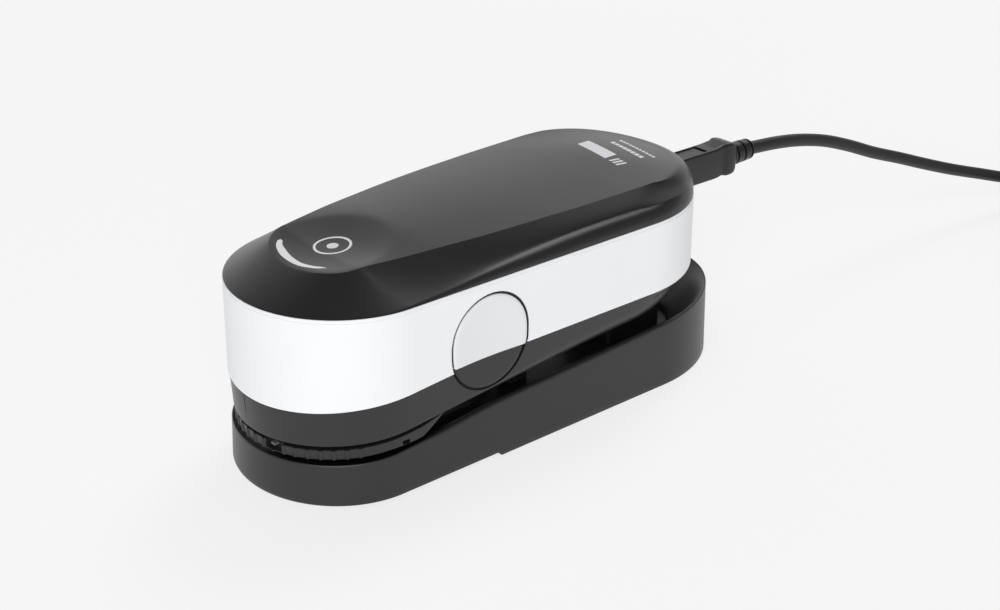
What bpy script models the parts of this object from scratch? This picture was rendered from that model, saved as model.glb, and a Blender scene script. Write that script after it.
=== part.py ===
"""A hand-held colour-measuring instrument seated on its calibration base, with its USB lead.

Shapes are worked out in millimetres: x across, y along the instrument from its middle towards the tail,
z up from the surface it stands on. solid() and lead() turn them into metres and move them along y, so that
the origin is under the middle of the base.
"""

import math

import bmesh
import bpy
import numpy as np

MM = 0.001
GAP = 0.3  # kept between pieces that touch

# Instrument
LENGTH = 161.5
HALF_WIDTH = 33.9
NOSE_CAP = 32.4  # how far the rounded nose runs back from the tip
TAIL_CAP = 36.8
BAND_TOP = 59.25
BAND_BOTTOM = 35.8
BAND_WALL = 1.8
BAND_DRAFT = 0.8  # how much further the band's lower edge reaches at the nose, and half that at the tail
HOUSING_INSET = 0.9  # at the sides and tail
HOUSING_REACH = 1.5  # how much further than that inset the housing reaches at the nose
SHELL_WALL = 2.0
NOSE = -LENGTH / 2
TAIL = LENGTH / 2
DECK_NOSE = -66.5
DECK_NOSE_CAP = 12.9
DECK_TAIL = 72.5
DECK_TAIL_CAP = 28.5
DECK_CROWN = 1.2

# Base
BASE_LENGTH = 173.7
BASE_HALF_WIDTH = 32.9
BASE_NOSE = NOSE - 1.45
BASE_TAIL = BASE_NOSE + BASE_LENGTH
BASE_NOSE_CAP = 30.3
BASE_TAIL_CAP = 39.6
BASE_DRAFT = 0.6
POCKET_INSET = 13.0  # from the base's outline to the wall of the pocket that the foot goes into
DECK_UNDER = 6.3
DECK_TOP = 8.3
MID_Y = -(BASE_NOSE + BASE_TAIL) / 2  # moves the base's middle to y = 0

# Measuring end
APERTURE_Y = -52.0
FOOT_BOTTOM = 11.0
TILE_RADIUS = 8.0
TILE_HOLDER_RADIUS = 11.5
STRIP_DROP = 1.0  # from the housing's floor to the top of the ribbed strip, with the flange between them
STRIP_HEIGHT = 3.0
STRIP_INSET = 1.9
STRIP_END_Y = -41.0

# Side buttons
BUTTON_Y = -20.65
BUTTON_Z = 40.2
BUTTON_RADIUS = 13.4
BUTTON_STRAIGHT = 2.2
BUTTON_SPLIT_Z = 35.65
BUTTON_GAP = 0.6
BUTTON_INNER_X = 30.2
BUTTON_LOWER_X = 32.8  # the dark part stands no further out than the housing round it

# Lead
CABLE_DIAMETER = 4.6
LEAD_Z = 55.6
PLUG_FRONT_Y = 79.9
CABLE_START_Y = 121.5
COIL_CENTRE = (49.8, 281.5)
COIL_INNER = 17.6
COIL_OUTER = 34.3
COIL_UNDER = 0.9  # the tie under it holds it this far up
COIL_TOP = 10.3
FAR_PLUG_X = 81.5

# The lead's route from its strain relief to the coil, and from the coil to its far plug.
LEAD_ROUTE = (
    (0.0, 121.8, 55.6),
    (0.0, 137.0, 54.3),
    (0.0, 150.0, 52.3),
    (0.2, 163.5, 49.0),
    (0.6, 177.7, 44.0),
    (1.5, 192.2, 38.1),
    (2.8, 206.9, 32.9),
    (4.6, 221.8, 27.4),
    (6.9, 237.1, 22.1),
    (9.8, 252.5, 17.4),
    (13.4, 268.0, 12.8),
    (14.0, 270.8, 12.1),
)
TAIL_ROUTE = (
    (FAR_PLUG_X, 262.4, 2.5),
    (FAR_PLUG_X, 258.0, 2.7),
    (FAR_PLUG_X, 254.0, 3.5),
    (FAR_PLUG_X, 250.4, 4.0),
)


# ---- helpers ----------------------------------------------------------------------------------------------


def clear_scene():
    for obj in list(bpy.data.objects):
        bpy.data.objects.remove(obj, do_unlink=True)


def make_material(name, colour, roughness, metallic=0.0):
    material = bpy.data.materials.new(name)
    material.use_nodes = True
    shader = material.node_tree.nodes["Principled BSDF"]
    shader.inputs["Base Color"].default_value = (*colour, 1.0)
    shader.inputs["Roughness"].default_value = roughness
    shader.inputs["Metallic"].default_value = metallic
    return material


def make_frame(name, x=0.0, y=0.0, z=0.0, parent=None):
    """An empty on a body's axis of motion. Its pieces are its children."""
    frame = bpy.data.objects.new(name, None)
    bpy.context.collection.objects.link(frame)
    place = np.array([x, y + MID_Y, z]) * MM
    if parent:
        frame.parent = parent
        place = place - np.array(parent.matrix_world.translation)
    frame.location = place
    bpy.context.view_layer.update()
    return frame


def solid(name, points, faces, material, frame):
    """A closed mesh from points in millimetres, held by its body's frame."""
    origin = np.array(frame.matrix_world.translation)
    places = (np.array(points, float) + (0.0, MID_Y, 0.0)) * MM - origin
    mesh = bpy.data.meshes.new(name)
    mesh.from_pydata(places.tolist(), [], faces)
    shape = bmesh.new()
    shape.from_mesh(mesh)
    bmesh.ops.recalc_face_normals(shape, faces=shape.faces)
    shape.to_mesh(mesh)
    shape.free()
    mesh.shade_smooth()
    mesh.set_sharp_from_angle(angle=math.radians(35))
    if material:
        mesh.materials.append(material)
    obj = bpy.data.objects.new(name, mesh)
    bpy.context.collection.objects.link(obj)
    obj.parent = frame
    return obj


def strip_cap(first, count, nose=10):
    """Faces straight across a symmetric outline, from its nose point back to its tail."""
    faces = []
    for k in range(count // 2):
        ahead = [(nose + k) % count, (nose + k + 1) % count]
        back = [(nose - k - 1) % count, (nose - k) % count]
        faces.append(tuple(first + corner for corner in dict.fromkeys(ahead + back)))
    return faces


def loft(name, rings, material, frame, closed=False, strips=False):
    """A skin through rings that have the same number of points, capped at both ends or closed on itself.

    strips caps a symmetric outline with faces straight across it, which follow a curved floor.
    """
    count = len(rings[0])
    points = [point for ring in rings for point in ring]
    faces = []
    steps = len(rings) if closed else len(rings) - 1
    for level in range(steps):
        low = level * count
        high = (level + 1) % len(rings) * count
        for k in range(count):
            nxt = (k + 1) % count
            faces.append((low + k, low + nxt, high + nxt, high + k))
    if strips:
        faces += strip_cap(0, count) + strip_cap(len(points) - count, count)
    elif not closed:
        faces.append(tuple(range(count)))
        faces.append(tuple(range(len(points) - count, len(points))))
    return solid(name, points, faces, material, frame)


def combine(obj, other, operation):
    other.hide_render = True
    other.display_type = "WIRE"
    modifier = obj.modifiers.new(other.name, "BOOLEAN")
    modifier.operation = operation
    modifier.object = other
    modifier.solver = "EXACT"


def cut(obj, cutter):
    combine(obj, cutter, "DIFFERENCE")


def join(obj, other):
    combine(obj, other, "UNION")


def follow(table, y):
    """The value at y on the straight lines through (y, value) pairs."""
    if y <= table[0][0]:
        return table[0][1]
    for (y0, v0), (y1, v1) in zip(table[:-1], table[1:]):
        if y <= y1:
            return v0 + (v1 - v0) * (y - y0) / (y1 - y0)
    return table[-1][1]


def smooth_step(value, start, end):
    t = min(max((value - start) / (end - start), 0.0), 1.0)
    return t * t * (3 - 2 * t)


def outline(half_width, nose, tail, nose_cap, tail_cap, per_cap=20, per_side=8):
    """A long round-ended outline from +x round the nose to -x, back to the tail and round it.

    half_width is a number, or a function of y for a side that tapers.
    """
    width = half_width if callable(half_width) else lambda y: half_width
    front, rear = nose + nose_cap, tail - tail_cap
    points = []
    for k in range(per_cap + 1):
        turn = math.pi * k / per_cap
        points.append((width(front) * math.cos(turn), front - nose_cap * math.sin(turn)))
    for k in range(1, per_side):
        y = front + (rear - front) * k / per_side
        points.append((-width(y), y))
    for k in range(per_cap + 1):
        turn = math.pi * k / per_cap
        points.append((-width(rear) * math.cos(turn), rear + tail_cap * math.sin(turn)))
    for k in range(1, per_side):
        y = rear + (front - rear) * k / per_side
        points.append((width(y), y))
    return points


def raised(flat, height):
    """Puts an outline at a height, which is a number or a function of y."""
    level = height if callable(height) else lambda y: height
    return [(x, y, level(y)) for x, y in flat]


def body_outline(inset, reach=0.0):
    """The instrument's outline, drawn in by inset all round and let out by reach at its nose."""
    return outline(
        HALF_WIDTH - inset,
        NOSE + inset - reach,
        TAIL - inset + reach / 2,
        NOSE_CAP - inset + reach,
        TAIL_CAP - inset + reach / 2,
    )


def base_outline(inset):
    return outline(
        BASE_HALF_WIDTH - inset,
        BASE_NOSE + inset,
        BASE_TAIL - inset,
        BASE_NOSE_CAP - inset,
        BASE_TAIL_CAP - inset,
    )


def circle(x, y, radius, count=24):
    turns = [2 * math.pi * k / count for k in range(count)]
    return [(x + radius * math.cos(t), y + radius * math.sin(t)) for t in turns]


def rounded_box_outline(x0, x1, y0, y1, radius, per_corner=3):
    corners = (
        (x1 - radius, y1 - radius, 0),
        (x0 + radius, y1 - radius, 90),
        (x0 + radius, y0 + radius, 180),
        (x1 - radius, y0 + radius, 270),
    )
    points = []
    for x, y, start in corners:
        for k in range(per_corner + 1):
            turn = math.radians(start + 90 * k / per_corner)
            points.append((x + radius * math.cos(turn), y + radius * math.sin(turn)))
    return points


def slab(name, flat, low, high, material, frame):
    """An outline given a thickness."""
    return loft(name, [raised(flat, low), raised(flat, high)], material, frame)


def block(name, x, y, z, material, frame, radius=1.0):
    """A box with rounded upright corners, from (low, high) pairs."""
    flat = rounded_box_outline(*x, *y, radius)
    return slab(name, flat, z[0], z[1], material, frame)


def tube_ring(name, x, y, radii, low, high, material, frame):
    """An upright ring between an inner and an outer radius."""
    inner, outer = radii
    rings = [
        raised(circle(x, y, inner), low),
        raised(circle(x, y, outer), low),
        raised(circle(x, y, outer), high),
        raised(circle(x, y, inner), high),
    ]
    return loft(name, rings, material, frame, closed=True)


def along_y(name, sections, material, frame, centre=(0.0, LEAD_Z)):
    """A loft of rounded rectangles (y, half width, half height, corner radius) along y."""
    rings = []
    for y, half_x, half_z, radius in sections:
        flat = rounded_box_outline(-half_x, half_x, -half_z, half_z, radius)
        rings.append([(centre[0] + x, y, centre[1] + z) for x, z in flat])
    return loft(name, rings, material, frame)


def smooth_path(route, spacing):
    """Points about spacing apart on the Catmull-Rom curve through a route."""
    knots = np.array([2 * np.array(route[0]) - route[1], *route, 2 * np.array(route[-1]) - route[-2]])
    points = []
    for k in range(1, len(knots) - 2):
        before, start, end, after = knots[k - 1 : k + 3]
        steps = max(2, round(float(np.linalg.norm(end - start)) / spacing))
        for step in range(steps):
            t = step / steps
            points.append(
                0.5
                * (
                    2 * start
                    + (end - before) * t
                    + (2 * before - 5 * start + 4 * end - after) * t**2
                    + (3 * start - before - 3 * end + after) * t**3
                )
            )
    points.append(knots[-2])
    return points


def lead(name, route, material, frame):
    """A plain round cable along a route."""
    curve = bpy.data.curves.new(name, "CURVE")
    curve.dimensions = "3D"
    curve.bevel_depth = CABLE_DIAMETER / 2 * MM
    curve.bevel_resolution = 2
    curve.use_fill_caps = True
    points = smooth_path(route, 2.4 * CABLE_DIAMETER)
    spline = curve.splines.new("POLY")
    spline.points.add(len(points) - 1)
    origin = np.array(frame.matrix_world.translation)
    for spot, point in zip(spline.points, points):
        place = (point + (0.0, MID_Y, 0.0)) * MM - origin
        spot.co = (*place, 1.0)
    curve.materials.append(material)
    obj = bpy.data.objects.new(name, curve)
    bpy.context.collection.objects.link(obj)
    obj.parent = frame
    return obj


# ---- heights that follow the length -----------------------------------------------------------------------

# Both are (y, z) pairs from the nose to the tail.
HOUSING_BOTTOM_LINE = (
    (-81, 19.3),
    (-60, 20.2),
    (-40, 22.0),
    (-20, 23.2),
    (0, 24.1),
    (20, 24.9),
    (40, 25.6),
    (60, 26.4),
    (70, 27.4),
)
RIM_LINE = ((-82, 14.7), (-60, 14.9), (-40, 16.4), (-20, 18.7), (0, 19.9), (40, 21.9), (92, 25.2))


def band_bottom(y):
    """The band grows deeper towards the nose."""
    dip = min(max((-10.0 - y) / 70.75, 0.0), 1.0)
    return BAND_BOTTOM - 5.6 * dip**1.3


def housing_bottom(y):
    return follow(HOUSING_BOTTOM_LINE, y)


def rim_height(y):
    return follow(RIM_LINE, y)


def ridge_height(y):
    """The soft ridge along the top shell's side starts at the band near the nose."""
    return 60.4 + 3.5 * smooth_step(y, -62.0, 12.0)


def deck_height(y):
    nose_dip = 0.13 * max(-50.0 - y, 0.0)
    tail_dip = 1.7 * (max(y - 54.0, 0.0) / 18.5) ** 2
    return 70.1 - 0.0195 * (44.0 - y) - nose_dip - tail_dip


def crown(y, shrink):
    """How far the deck stands above its edge, behind the low nose pad."""
    return DECK_CROWN * (1 - shrink**2) * smooth_step(y, -52.0, -30.0)


def deck_half_width(y):
    return 28.7 - 9.5 * (max(44.0 - y, 0.0) / 98.0) ** 2


# ---- the instrument ---------------------------------------------------------------------------------------


def deck_outline(shrink, inset=0.0):
    """The top's flat, which narrows to the round nose dish; shrink 1 is its edge and 0 its middle line."""

    def width(y):
        return max((deck_half_width(y) - inset) * shrink, 0.6)

    nose = DECK_NOSE + inset + DECK_NOSE_CAP * (1 - shrink)
    tail = DECK_TAIL - inset - DECK_TAIL_CAP * (1 - shrink)
    return outline(width, nose, tail, DECK_NOSE_CAP * shrink + 0.4, DECK_TAIL_CAP * shrink + 0.4)


def shell_rings(inset, drop):
    """The top shell's skin from its lower edge to the middle of its deck."""
    edge = body_outline(0.3 + inset)
    ridge = body_outline(1.0 + inset)
    deck_edge = deck_outline(1.0, inset)
    cove = []
    for (rx, ry), (dx, dy) in zip(ridge, deck_edge):
        round_tail = smooth_step(ry, 30.0, 75.0)
        share = 0.5 - 0.04 * (1 - round_tail)
        rise = 0.42 + 0.30 * round_tail
        height = ridge_height(ry) + (deck_height(dy) - ridge_height(ry)) * rise
        cove.append((rx + (dx - rx) * share, ry + (dy - ry) * share, height - drop))
    rings = [raised(edge, BAND_TOP + GAP), raised(ridge, lambda y: ridge_height(y) - drop), cove]
    for shrink in (1.0, 0.75, 0.45, 0.15):
        flat = deck_outline(shrink, inset)
        rings.append(raised(flat, lambda y, shrink=shrink: deck_height(y) + crown(y, shrink) - drop))
    return rings


def top_shell(material, frame):
    outside = shell_rings(0.0, 0.0)
    inside = shell_rings(SHELL_WALL, SHELL_WALL)
    shell = loft("top_shell", inside[::-1] + outside, material, frame)
    cut(shell, socket_hole("socket_hole_shell", frame))
    cut(shell, slab("light_pocket", crescent(GAP), 60.0, 72.0, None, frame))
    return shell


def crescent(grow):
    """The status light's outline: an arc inside the nose's edge, with pointed ends."""
    count = 14
    points = []
    for side in (1, -1):
        for k in range(count + 1):
            t = k / count if side == 1 else 1 - k / count
            turn = math.radians(203 + 134 * t)
            thick = (0.45 + 0.75 * math.sin(math.pi * t)) + grow
            radius_x = 15.3 + side * thick
            radius_y = 9.9 + side * thick
            points.append((radius_x * math.cos(turn), -53.6 + radius_y * math.sin(turn)))
    return points


def status_light(material, frame):
    return slab("status_light", crescent(0.0), 63.5, 66.4, material, frame)


def side_band(material, frame):
    inside = body_outline(BAND_WALL)
    rings = [
        raised(body_outline(0.0, BAND_DRAFT), band_bottom),
        raised(body_outline(0.0), BAND_TOP),
        raised(inside, BAND_TOP),
        raised(inside, band_bottom),
    ]
    band = loft("side_band", rings, material, frame, closed=True)
    cut(band, socket_hole("socket_hole_band", frame))
    for side, word in ((1, "right"), (-1, "left")):
        cut(band, button_hole(f"band_hole_{word}", side, frame))
    return band


def housing_outline(inset, depth):
    """The lower housing's outline; depth runs from 0 at its top to 1 at its floor, where its tail is drawn in."""
    pull = 6.0 * depth**1.7
    edge = HOUSING_INSET + inset
    return outline(
        HALF_WIDTH - edge - 0.4 * depth,
        NOSE - HOUSING_REACH + edge + 0.4 * depth,
        TAIL - edge - pull,
        NOSE_CAP + HOUSING_REACH - edge,
        TAIL_CAP - edge,
    )


def housing_rings(inset, lift):
    rings = []
    for depth in (0.0, 0.35, 0.7, 0.92, 1.0):
        draw_in = 1.6 if depth == 1.0 else 0.0

        def height(y, depth=depth):
            low = housing_bottom(y) + lift
            return band_bottom(y) - GAP + (low - band_bottom(y) + GAP) * depth

        rings.append(raised(housing_outline(inset + draw_in, depth), height))
    for draw_in in (10.0, 20.0):
        rings.append(raised(housing_outline(inset + draw_in, 1.0), lambda y: housing_bottom(y) + lift))
    return rings


def lower_housing(material, frame):
    outside = housing_rings(0.0, 0.0)
    inside = housing_rings(SHELL_WALL, SHELL_WALL)
    housing = loft("lower_housing", outside[::-1] + inside, material, frame, strips=True)
    for side, word in ((1, "right"), (-1, "left")):
        cut(housing, button_hole(f"housing_hole_{word}", side, frame))
    cut(housing, slab("optics_hole", circle(0, APERTURE_Y, 8.0), 15.0, 30.0, None, frame))
    for k, (x, y) in enumerate(housing_screw_places(), 1):
        cut(housing, slab(f"screw_hole_{k}", circle(x, y, 3.0, 16), 15.0, 40.0, None, frame))
    return housing


def housing_screw_places():
    return [(x, y) for y in (-28.0, 46.0) for x in (24.0, -24.0)]


def socket_hole(name, frame):
    flat = rounded_box_outline(-4.7, 4.7, LEAD_Z - 6.2, LEAD_Z + 6.2, 1.2)
    return loft(name, [[(x, y, z) for x, z in flat] for y in (70.0, 90.0)], None, frame)


def usb_socket(material, frame):
    """The socket's metal shell, open towards the tail."""
    rings = []
    for y, half_x, half_z in ((71.5, 2.2, 3.9), (79.3, 2.2, 3.9), (79.3, 2.9, 4.6), (70.0, 2.9, 4.6)):
        flat = rounded_box_outline(-half_x, half_x, -half_z, half_z, 0.6)
        rings.append([(x, y, LEAD_Z + z) for x, z in flat])
    return loft("usb_socket", rings, material, frame)


def under_housing(drop):
    """A height that stays so far below the housing's floor."""
    return lambda y: housing_bottom(y) - drop


def nose_line(inset, end_y):
    """The line round the nose, from end_y on one side to end_y on the other."""
    arc = body_outline(inset, HOUSING_REACH)[:21]
    side = abs(arc[0][0])
    straight = [end_y, (end_y + arc[0][1]) / 2]
    return [*((side, y) for y in straight), *arc, *((-side, y) for y in reversed(straight))]


def nose_flange(material, frame):
    """A thin plate under the housing's nose."""
    flat = nose_line(STRIP_INSET + 1.6, STRIP_END_Y)
    rings = [raised(flat, under_housing(STRIP_DROP - GAP)), raised(flat, under_housing(GAP))]
    flange = loft("nose_flange", rings, material, frame)
    cut(flange, slab("flange_hole", circle(0, APERTURE_Y, 8.0), 15.0, 30.0, None, frame))
    return flange


def nose_strip(material, frame):
    """The strip under the flange, with its lower edge swept up at both ends."""
    flat = nose_line(STRIP_INSET, STRIP_END_Y) + nose_line(STRIP_INSET + 4.0, STRIP_END_Y)[::-1]

    def low(y):
        sweep = 1.9 * smooth_step(y, -45.0, STRIP_END_Y)
        return housing_bottom(y) - STRIP_DROP - STRIP_HEIGHT + sweep

    strip = loft("nose_strip", [raised(flat, low), raised(flat, under_housing(STRIP_DROP))], material, frame)
    window = rounded_box_outline(6.3, 12.0, NOSE - 4.0, NOSE + 3.5, 0.3)
    cut(strip, slab("latch_window", window, 15.9, 22.0, None, frame))
    return strip


def nose_latch(material, frame):
    """The small catch that shows in the strip's window."""
    return block("nose_latch", (8.0, 10.5), (NOSE + 2.0, NOSE + 3.2), (16.6, 18.0), material, frame, 0.3)


def measuring_foot(material, frame):
    flat = outline(17.5, -67.8, -24.0, 14.0, 6.0, per_cap=14, per_side=3)
    low = outline(16.5, -66.8, -25.0, 13.0, 5.0, per_cap=14, per_side=3)
    rings = [raised(low, FOOT_BOTTOM), raised(flat, FOOT_BOTTOM + 1.0), raised(flat, under_housing(STRIP_DROP))]
    foot = loft("measuring_foot", rings, material, frame)
    cut(foot, slab("foot_bore", circle(0, APERTURE_Y, 8.0), 5.0, 25.0, None, frame))
    return foot


def optics(materials, frame):
    """The aperture, its window and lamps, and the block that holds the grating and sensor."""
    tube_ring("aperture_ring", 0, APERTURE_Y, (4.2, 7.7), 11.4, 13.4, materials["steel"], frame)
    slab("aperture_window", circle(0, APERTURE_Y, 7.4), 13.7, 14.9, materials["glass"], frame)
    tube_ring("lamp_ring", 0, APERTURE_Y, (4.5, 7.6), 15.2, 17.2, materials["light"], frame)
    tube_ring("optics_barrel", 0, APERTURE_Y, (5.0, 7.6), 17.5, 27.0, materials["black"], frame)
    block("optics_block", (-16.0, 16.0), (-66.0, -30.0), (27.3, 36.0), materials["black"], frame, 3.0)
    block("grating_housing", (-11.0, 11.0), (-62.0, -38.0), (40.4, 52.0), materials["aluminium"], frame, 2.0)


def electronics(materials, frame):
    chassis = outline(25.0, -70.0, 62.0, 18.0, 18.0, per_cap=12, per_side=3)
    slab("inner_chassis", chassis, 36.3, 38.3, materials["black"], frame)
    block("main_board", (-20.0, 20.0), (-26.0, 58.0), (41.0, 42.6), materials["board"], frame, 2.0)
    block("sensor_module", (-9.0, 9.0), (-22.0, 4.0), (42.9, 49.0), materials["steel"], frame, 1.0)
    block("socket_board", (-8.0, 8.0), (60.0, 69.7), (49.0, 50.4), materials["board"], frame, 1.0)
    board = outline(11.5, -61.0, -44.0, 7.5, 6.0, per_cap=10, per_side=2)
    slab("status_board", board, 61.4, 62.6, materials["board"], frame)


def screws(prefix, places, head_low, frame, material, shank):
    """Countersunk screws, heads down."""
    for k, (x, y) in enumerate(places, 1):
        low = head_low(y)
        rings = [
            raised(circle(x, y, 2.4, 14), low),
            raised(circle(x, y, 2.4, 14), low + 1.2),
            raised(circle(x, y, 1.2, 14), low + 2.0),
            raised(circle(x, y, 1.2, 14), low + shank),
        ]
        screw = loft(f"{prefix}_{k}", rings, material, frame)
        cut(screw, screw_slot(f"{prefix}_slot_{k}", x, y, low, frame))


def screw_slot(name, x, y, low, frame):
    flat = circle(x, y, 1.1, 6)
    return slab(name, flat, low - 1.0, low + 0.7, None, frame)


# ---- the side buttons -------------------------------------------------------------------------------------


def button_outline(grow):
    """A near-round outline in (y, z), from its lowest point round the nose side."""
    points = []
    radius = BUTTON_RADIUS + grow
    for half, lift in ((0, BUTTON_STRAIGHT / 2), (1, -BUTTON_STRAIGHT / 2)):
        for k in range(19):
            turn = math.radians(180 * half + 180 * k / 18)
            points.append((BUTTON_Y + radius * math.cos(turn), BUTTON_Z + lift + radius * math.sin(turn)))
    return points


def button_hole(name, side, frame):
    rings = [[(side * x, y, z) for y, z in button_outline(BUTTON_GAP)] for x in (26.0, 40.0)]
    return loft(name, rings, None, frame)


def clipped(points, split, upper):
    """The part of a (y, z) outline above or below a height."""
    kept = []
    for (y0, z0), (y1, z1) in zip(points, points[1:] + points[:1]):
        keep0, keep1 = (z0 > split) == upper, (z1 > split) == upper
        if keep0:
            kept.append((y0, z0))
        if keep0 != keep1:
            t = (split - z0) / (z1 - z0)
            kept.append((y0 + (y1 - y0) * t, split))
    return kept


def side_button(word, side, materials, instrument):
    """A button that presses inwards: a white upper part and a dark lower part on one carrier."""
    frame = make_frame(f"button_{word}_frame", side * HALF_WIDTH, BUTTON_Y, BUTTON_Z, instrument)
    for part, upper, split, face_x in (
        ("upper", True, BUTTON_SPLIT_Z + GAP / 2, HALF_WIDTH),
        ("lower", False, BUTTON_SPLIT_Z - GAP / 2, BUTTON_LOWER_X),
    ):
        flat = clipped(button_outline(0.0), split, upper)
        rings = [[(side * x, y, z) for y, z in flat] for x in (BUTTON_INNER_X, face_x)]
        material = materials["white"] if upper else materials["dark"]
        loft(f"button_{word}_{part}", rings, material, frame)
    plunger = [(BUTTON_Y + y, BUTTON_Z + z) for y, z in circle(0, 0, 2.5, 16)]
    rings = [[(side * x, y, z) for y, z in plunger] for x in (28.3, BUTTON_INNER_X - GAP)]
    loft(f"button_{word}_plunger", rings, materials["dark"], frame)
    block(
        f"switch_{word}",
        tuple(sorted((side * 23.0, side * 26.8))),
        (BUTTON_Y - 4, BUTTON_Y + 4),
        (BUTTON_Z + 3.0 - GAP, BUTTON_Z + 9.0),
        materials["steel"],
        instrument,
        0.5,
    )


# ---- the base ---------------------------------------------------------------------------------------------


def base_foot_line(y):
    """The tray's lower edge stands clear of the surface, and higher ahead of a small step."""
    return 1.8 if y < -16.0 else 0.5


def base_tray(material, frame):
    def slope(y):
        """The foot of the slope from the rim down to the tray's floor."""
        return rim_height(y) - 0.87 * (rim_height(y) - DECK_TOP - 0.5)

    rings = [
        raised(base_outline(3.0), DECK_UNDER),
        raised(base_outline(3.0), base_foot_line),
        raised(base_outline(0.0), base_foot_line),
        raised(base_outline(BASE_DRAFT), lambda y: rim_height(y) - 1.2),
        raised(base_outline(BASE_DRAFT + 0.5), lambda y: rim_height(y) - 0.2),
        raised(base_outline(1.9), rim_height),
        raised(base_outline(2.8), lambda y: rim_height(y) - 0.45),
        raised(base_outline(12.2), slope),
        raised(base_outline(POCKET_INSET), DECK_TOP),
    ]
    tray = loft("base_tray", rings, material, frame)
    hole = circle(0, APERTURE_Y, TILE_HOLDER_RADIUS + GAP, 32)
    cut(tray, slab("tile_hole", hole, 3.0, 12.0, None, frame))
    return tray


def base_fittings(materials, frame):
    plate = base_outline(3.4)
    bottom = slab("bottom_plate", plate, 1.7, 3.2, materials["base"], frame)
    places = base_screw_places()
    for k, (x, y) in enumerate(places, 1):
        cut(bottom, slab(f"plate_hole_{k}", circle(x, y, 3.0, 16), 0.0, 5.0, None, frame))
    screws("base_screw", places, lambda y: 1.9, frame, materials["steel"], 4.1)
    for k, (x, y) in enumerate(base_foot_places(), 1):
        slab(f"base_foot_{k}", circle(x, y, 6.0), 0.0, 1.4, materials["rubber"], frame)
    for word, side in (("right", 1), ("left", -1)):
        x = tuple(sorted((side * 14.4, side * 16.8)))
        block(f"cover_rail_{word}", x, (-57.0, -12.0), (8.6, 10.5), materials["base"], frame, 0.5)
        x = tuple(sorted((side * 5.0, side * 12.0)))
        block(f"rest_pad_{word}", x, (4.0, 12.0), (8.6, 24.1), materials["rubber"], frame, 1.5)
    saddle_low = rounded_box_outline(-12.0, 12.0, 46.0, 70.0, 2.0)
    rings = [raised(saddle_low, DECK_TOP + GAP), raised(saddle_low, lambda y: housing_bottom(y) - 0.5)]
    loft("tail_saddle", rings, materials["base"], frame)


def base_screw_places():
    return [(x, y) for y in (-40.0, 60.0) for x in (20.0, -20.0)]


def base_foot_places():
    return [(x, y) for y in (-58.0, 64.0) for x in (15.0, -15.0)]


def white_tile(materials, frame):
    radii = (TILE_RADIUS + GAP, TILE_HOLDER_RADIUS)
    tube_ring("tile_holder", 0, APERTURE_Y, radii, 3.6, 8.0, materials["base"], frame)
    slab("white_tile", circle(0, APERTURE_Y, TILE_RADIUS, 32), 3.9, 7.4, materials["tile"], frame)


def tile_cover(material, base):
    """A lid over the tile, with a raised grip bar. It slides towards the tail between its rails."""
    frame = make_frame("tile_cover_frame", 0.0, APERTURE_Y, 9.2, base)
    flat = rounded_box_outline(-13.8, 13.8, APERTURE_Y - 11.5, APERTURE_Y + 14.0, 3.0)
    cover = slab("tile_cover", flat, 8.6, 9.8, material, frame)
    join(cover, block("cover_grip", (-8.0, 8.0), (-41.0, -38.5), (9.3, 10.5), material, frame, 0.8))


# ---- the lead ---------------------------------------------------------------------------------------------


def near_plug(materials, frame):
    tongue = ((72.4, 1.6, 3.3, 0.4), (PLUG_FRONT_Y - GAP, 1.6, 3.3, 0.4))
    along_y("plug_tongue", tongue, materials["steel"], frame)
    sections = (
        (PLUG_FRONT_Y, 4.0, 5.4, 0.9),
        (103.6, 4.1, 5.4, 0.9),
        (105.2, 4.9, 5.4, 1.2),
        (110.4, 4.9, 5.2, 1.4),
        (111.8, 3.9, 4.2, 1.6),
    )
    along_y("plug_body", sections, materials["lead"], frame)
    sections = (
        (111.8 + GAP, 3.8, 3.8, 3.7),
        (CABLE_START_Y, 3.2, 3.2, 3.1),
    )
    along_y("plug_relief", sections, materials["lead"], frame)


def far_end(materials, frame):
    centre = (FAR_PLUG_X, 4.0)
    relief = ((250.0, 2.9, 2.9, 2.8), (238.3, 3.8, 3.6, 3.4))
    along_y("far_plug_relief", relief, materials["lead"], frame, centre)
    body = (
        (238.0, 5.4, 3.6, 2.0),
        (234.5, 7.6, 3.9, 2.2),
        (215.3, 7.8, 3.9, 2.2),
        (213.3, 7.2, 3.6, 2.0),
    )
    along_y("far_plug_body", body, materials["lead"], frame, centre)
    shell = ((213.0, 6.0, 2.25, 0.5), (201.3, 6.0, 2.25, 0.5))
    along_y("far_plug_shell", shell, materials["steel"], frame, centre)


def coil(materials, frame):
    """The outer shape of the spare length, wound flat, and the strap round it."""
    x, y = COIL_CENTRE
    soft = 1.6
    profile = (
        (COIL_INNER, COIL_UNDER + soft),
        (COIL_INNER + soft, COIL_UNDER),
        (COIL_OUTER - soft, COIL_UNDER),
        (COIL_OUTER, COIL_UNDER + soft),
        (COIL_OUTER, COIL_TOP - soft),
        (COIL_OUTER - soft, COIL_TOP),
        (COIL_INNER + soft, COIL_TOP),
        (COIL_INNER, COIL_TOP - soft),
    )
    rings = [raised(circle(x, y, radius, 40), height) for radius, height in profile]
    loft("lead_coil", rings, materials["lead"], frame, closed=True)
    strap_thick, strap_half_width = 0.55, 3.0
    near, far = y + COIL_INNER - 0.35, y + COIL_OUTER + 0.35
    low, high = COIL_UNDER - GAP, COIL_TOP + GAP
    rings = []
    for side, grow in ((-1, 0.0), (-1, strap_thick), (1, strap_thick), (1, 0.0)):
        flat = rounded_box_outline(near - grow, far + grow, low - grow, high + grow, 1.2 + grow)
        rings.append([(x + side * strap_half_width, across, z) for across, z in flat])
    loft("coil_tie", rings, materials["rubber"], frame, closed=True)


# ---- the whole --------------------------------------------------------------------------------------------


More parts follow.
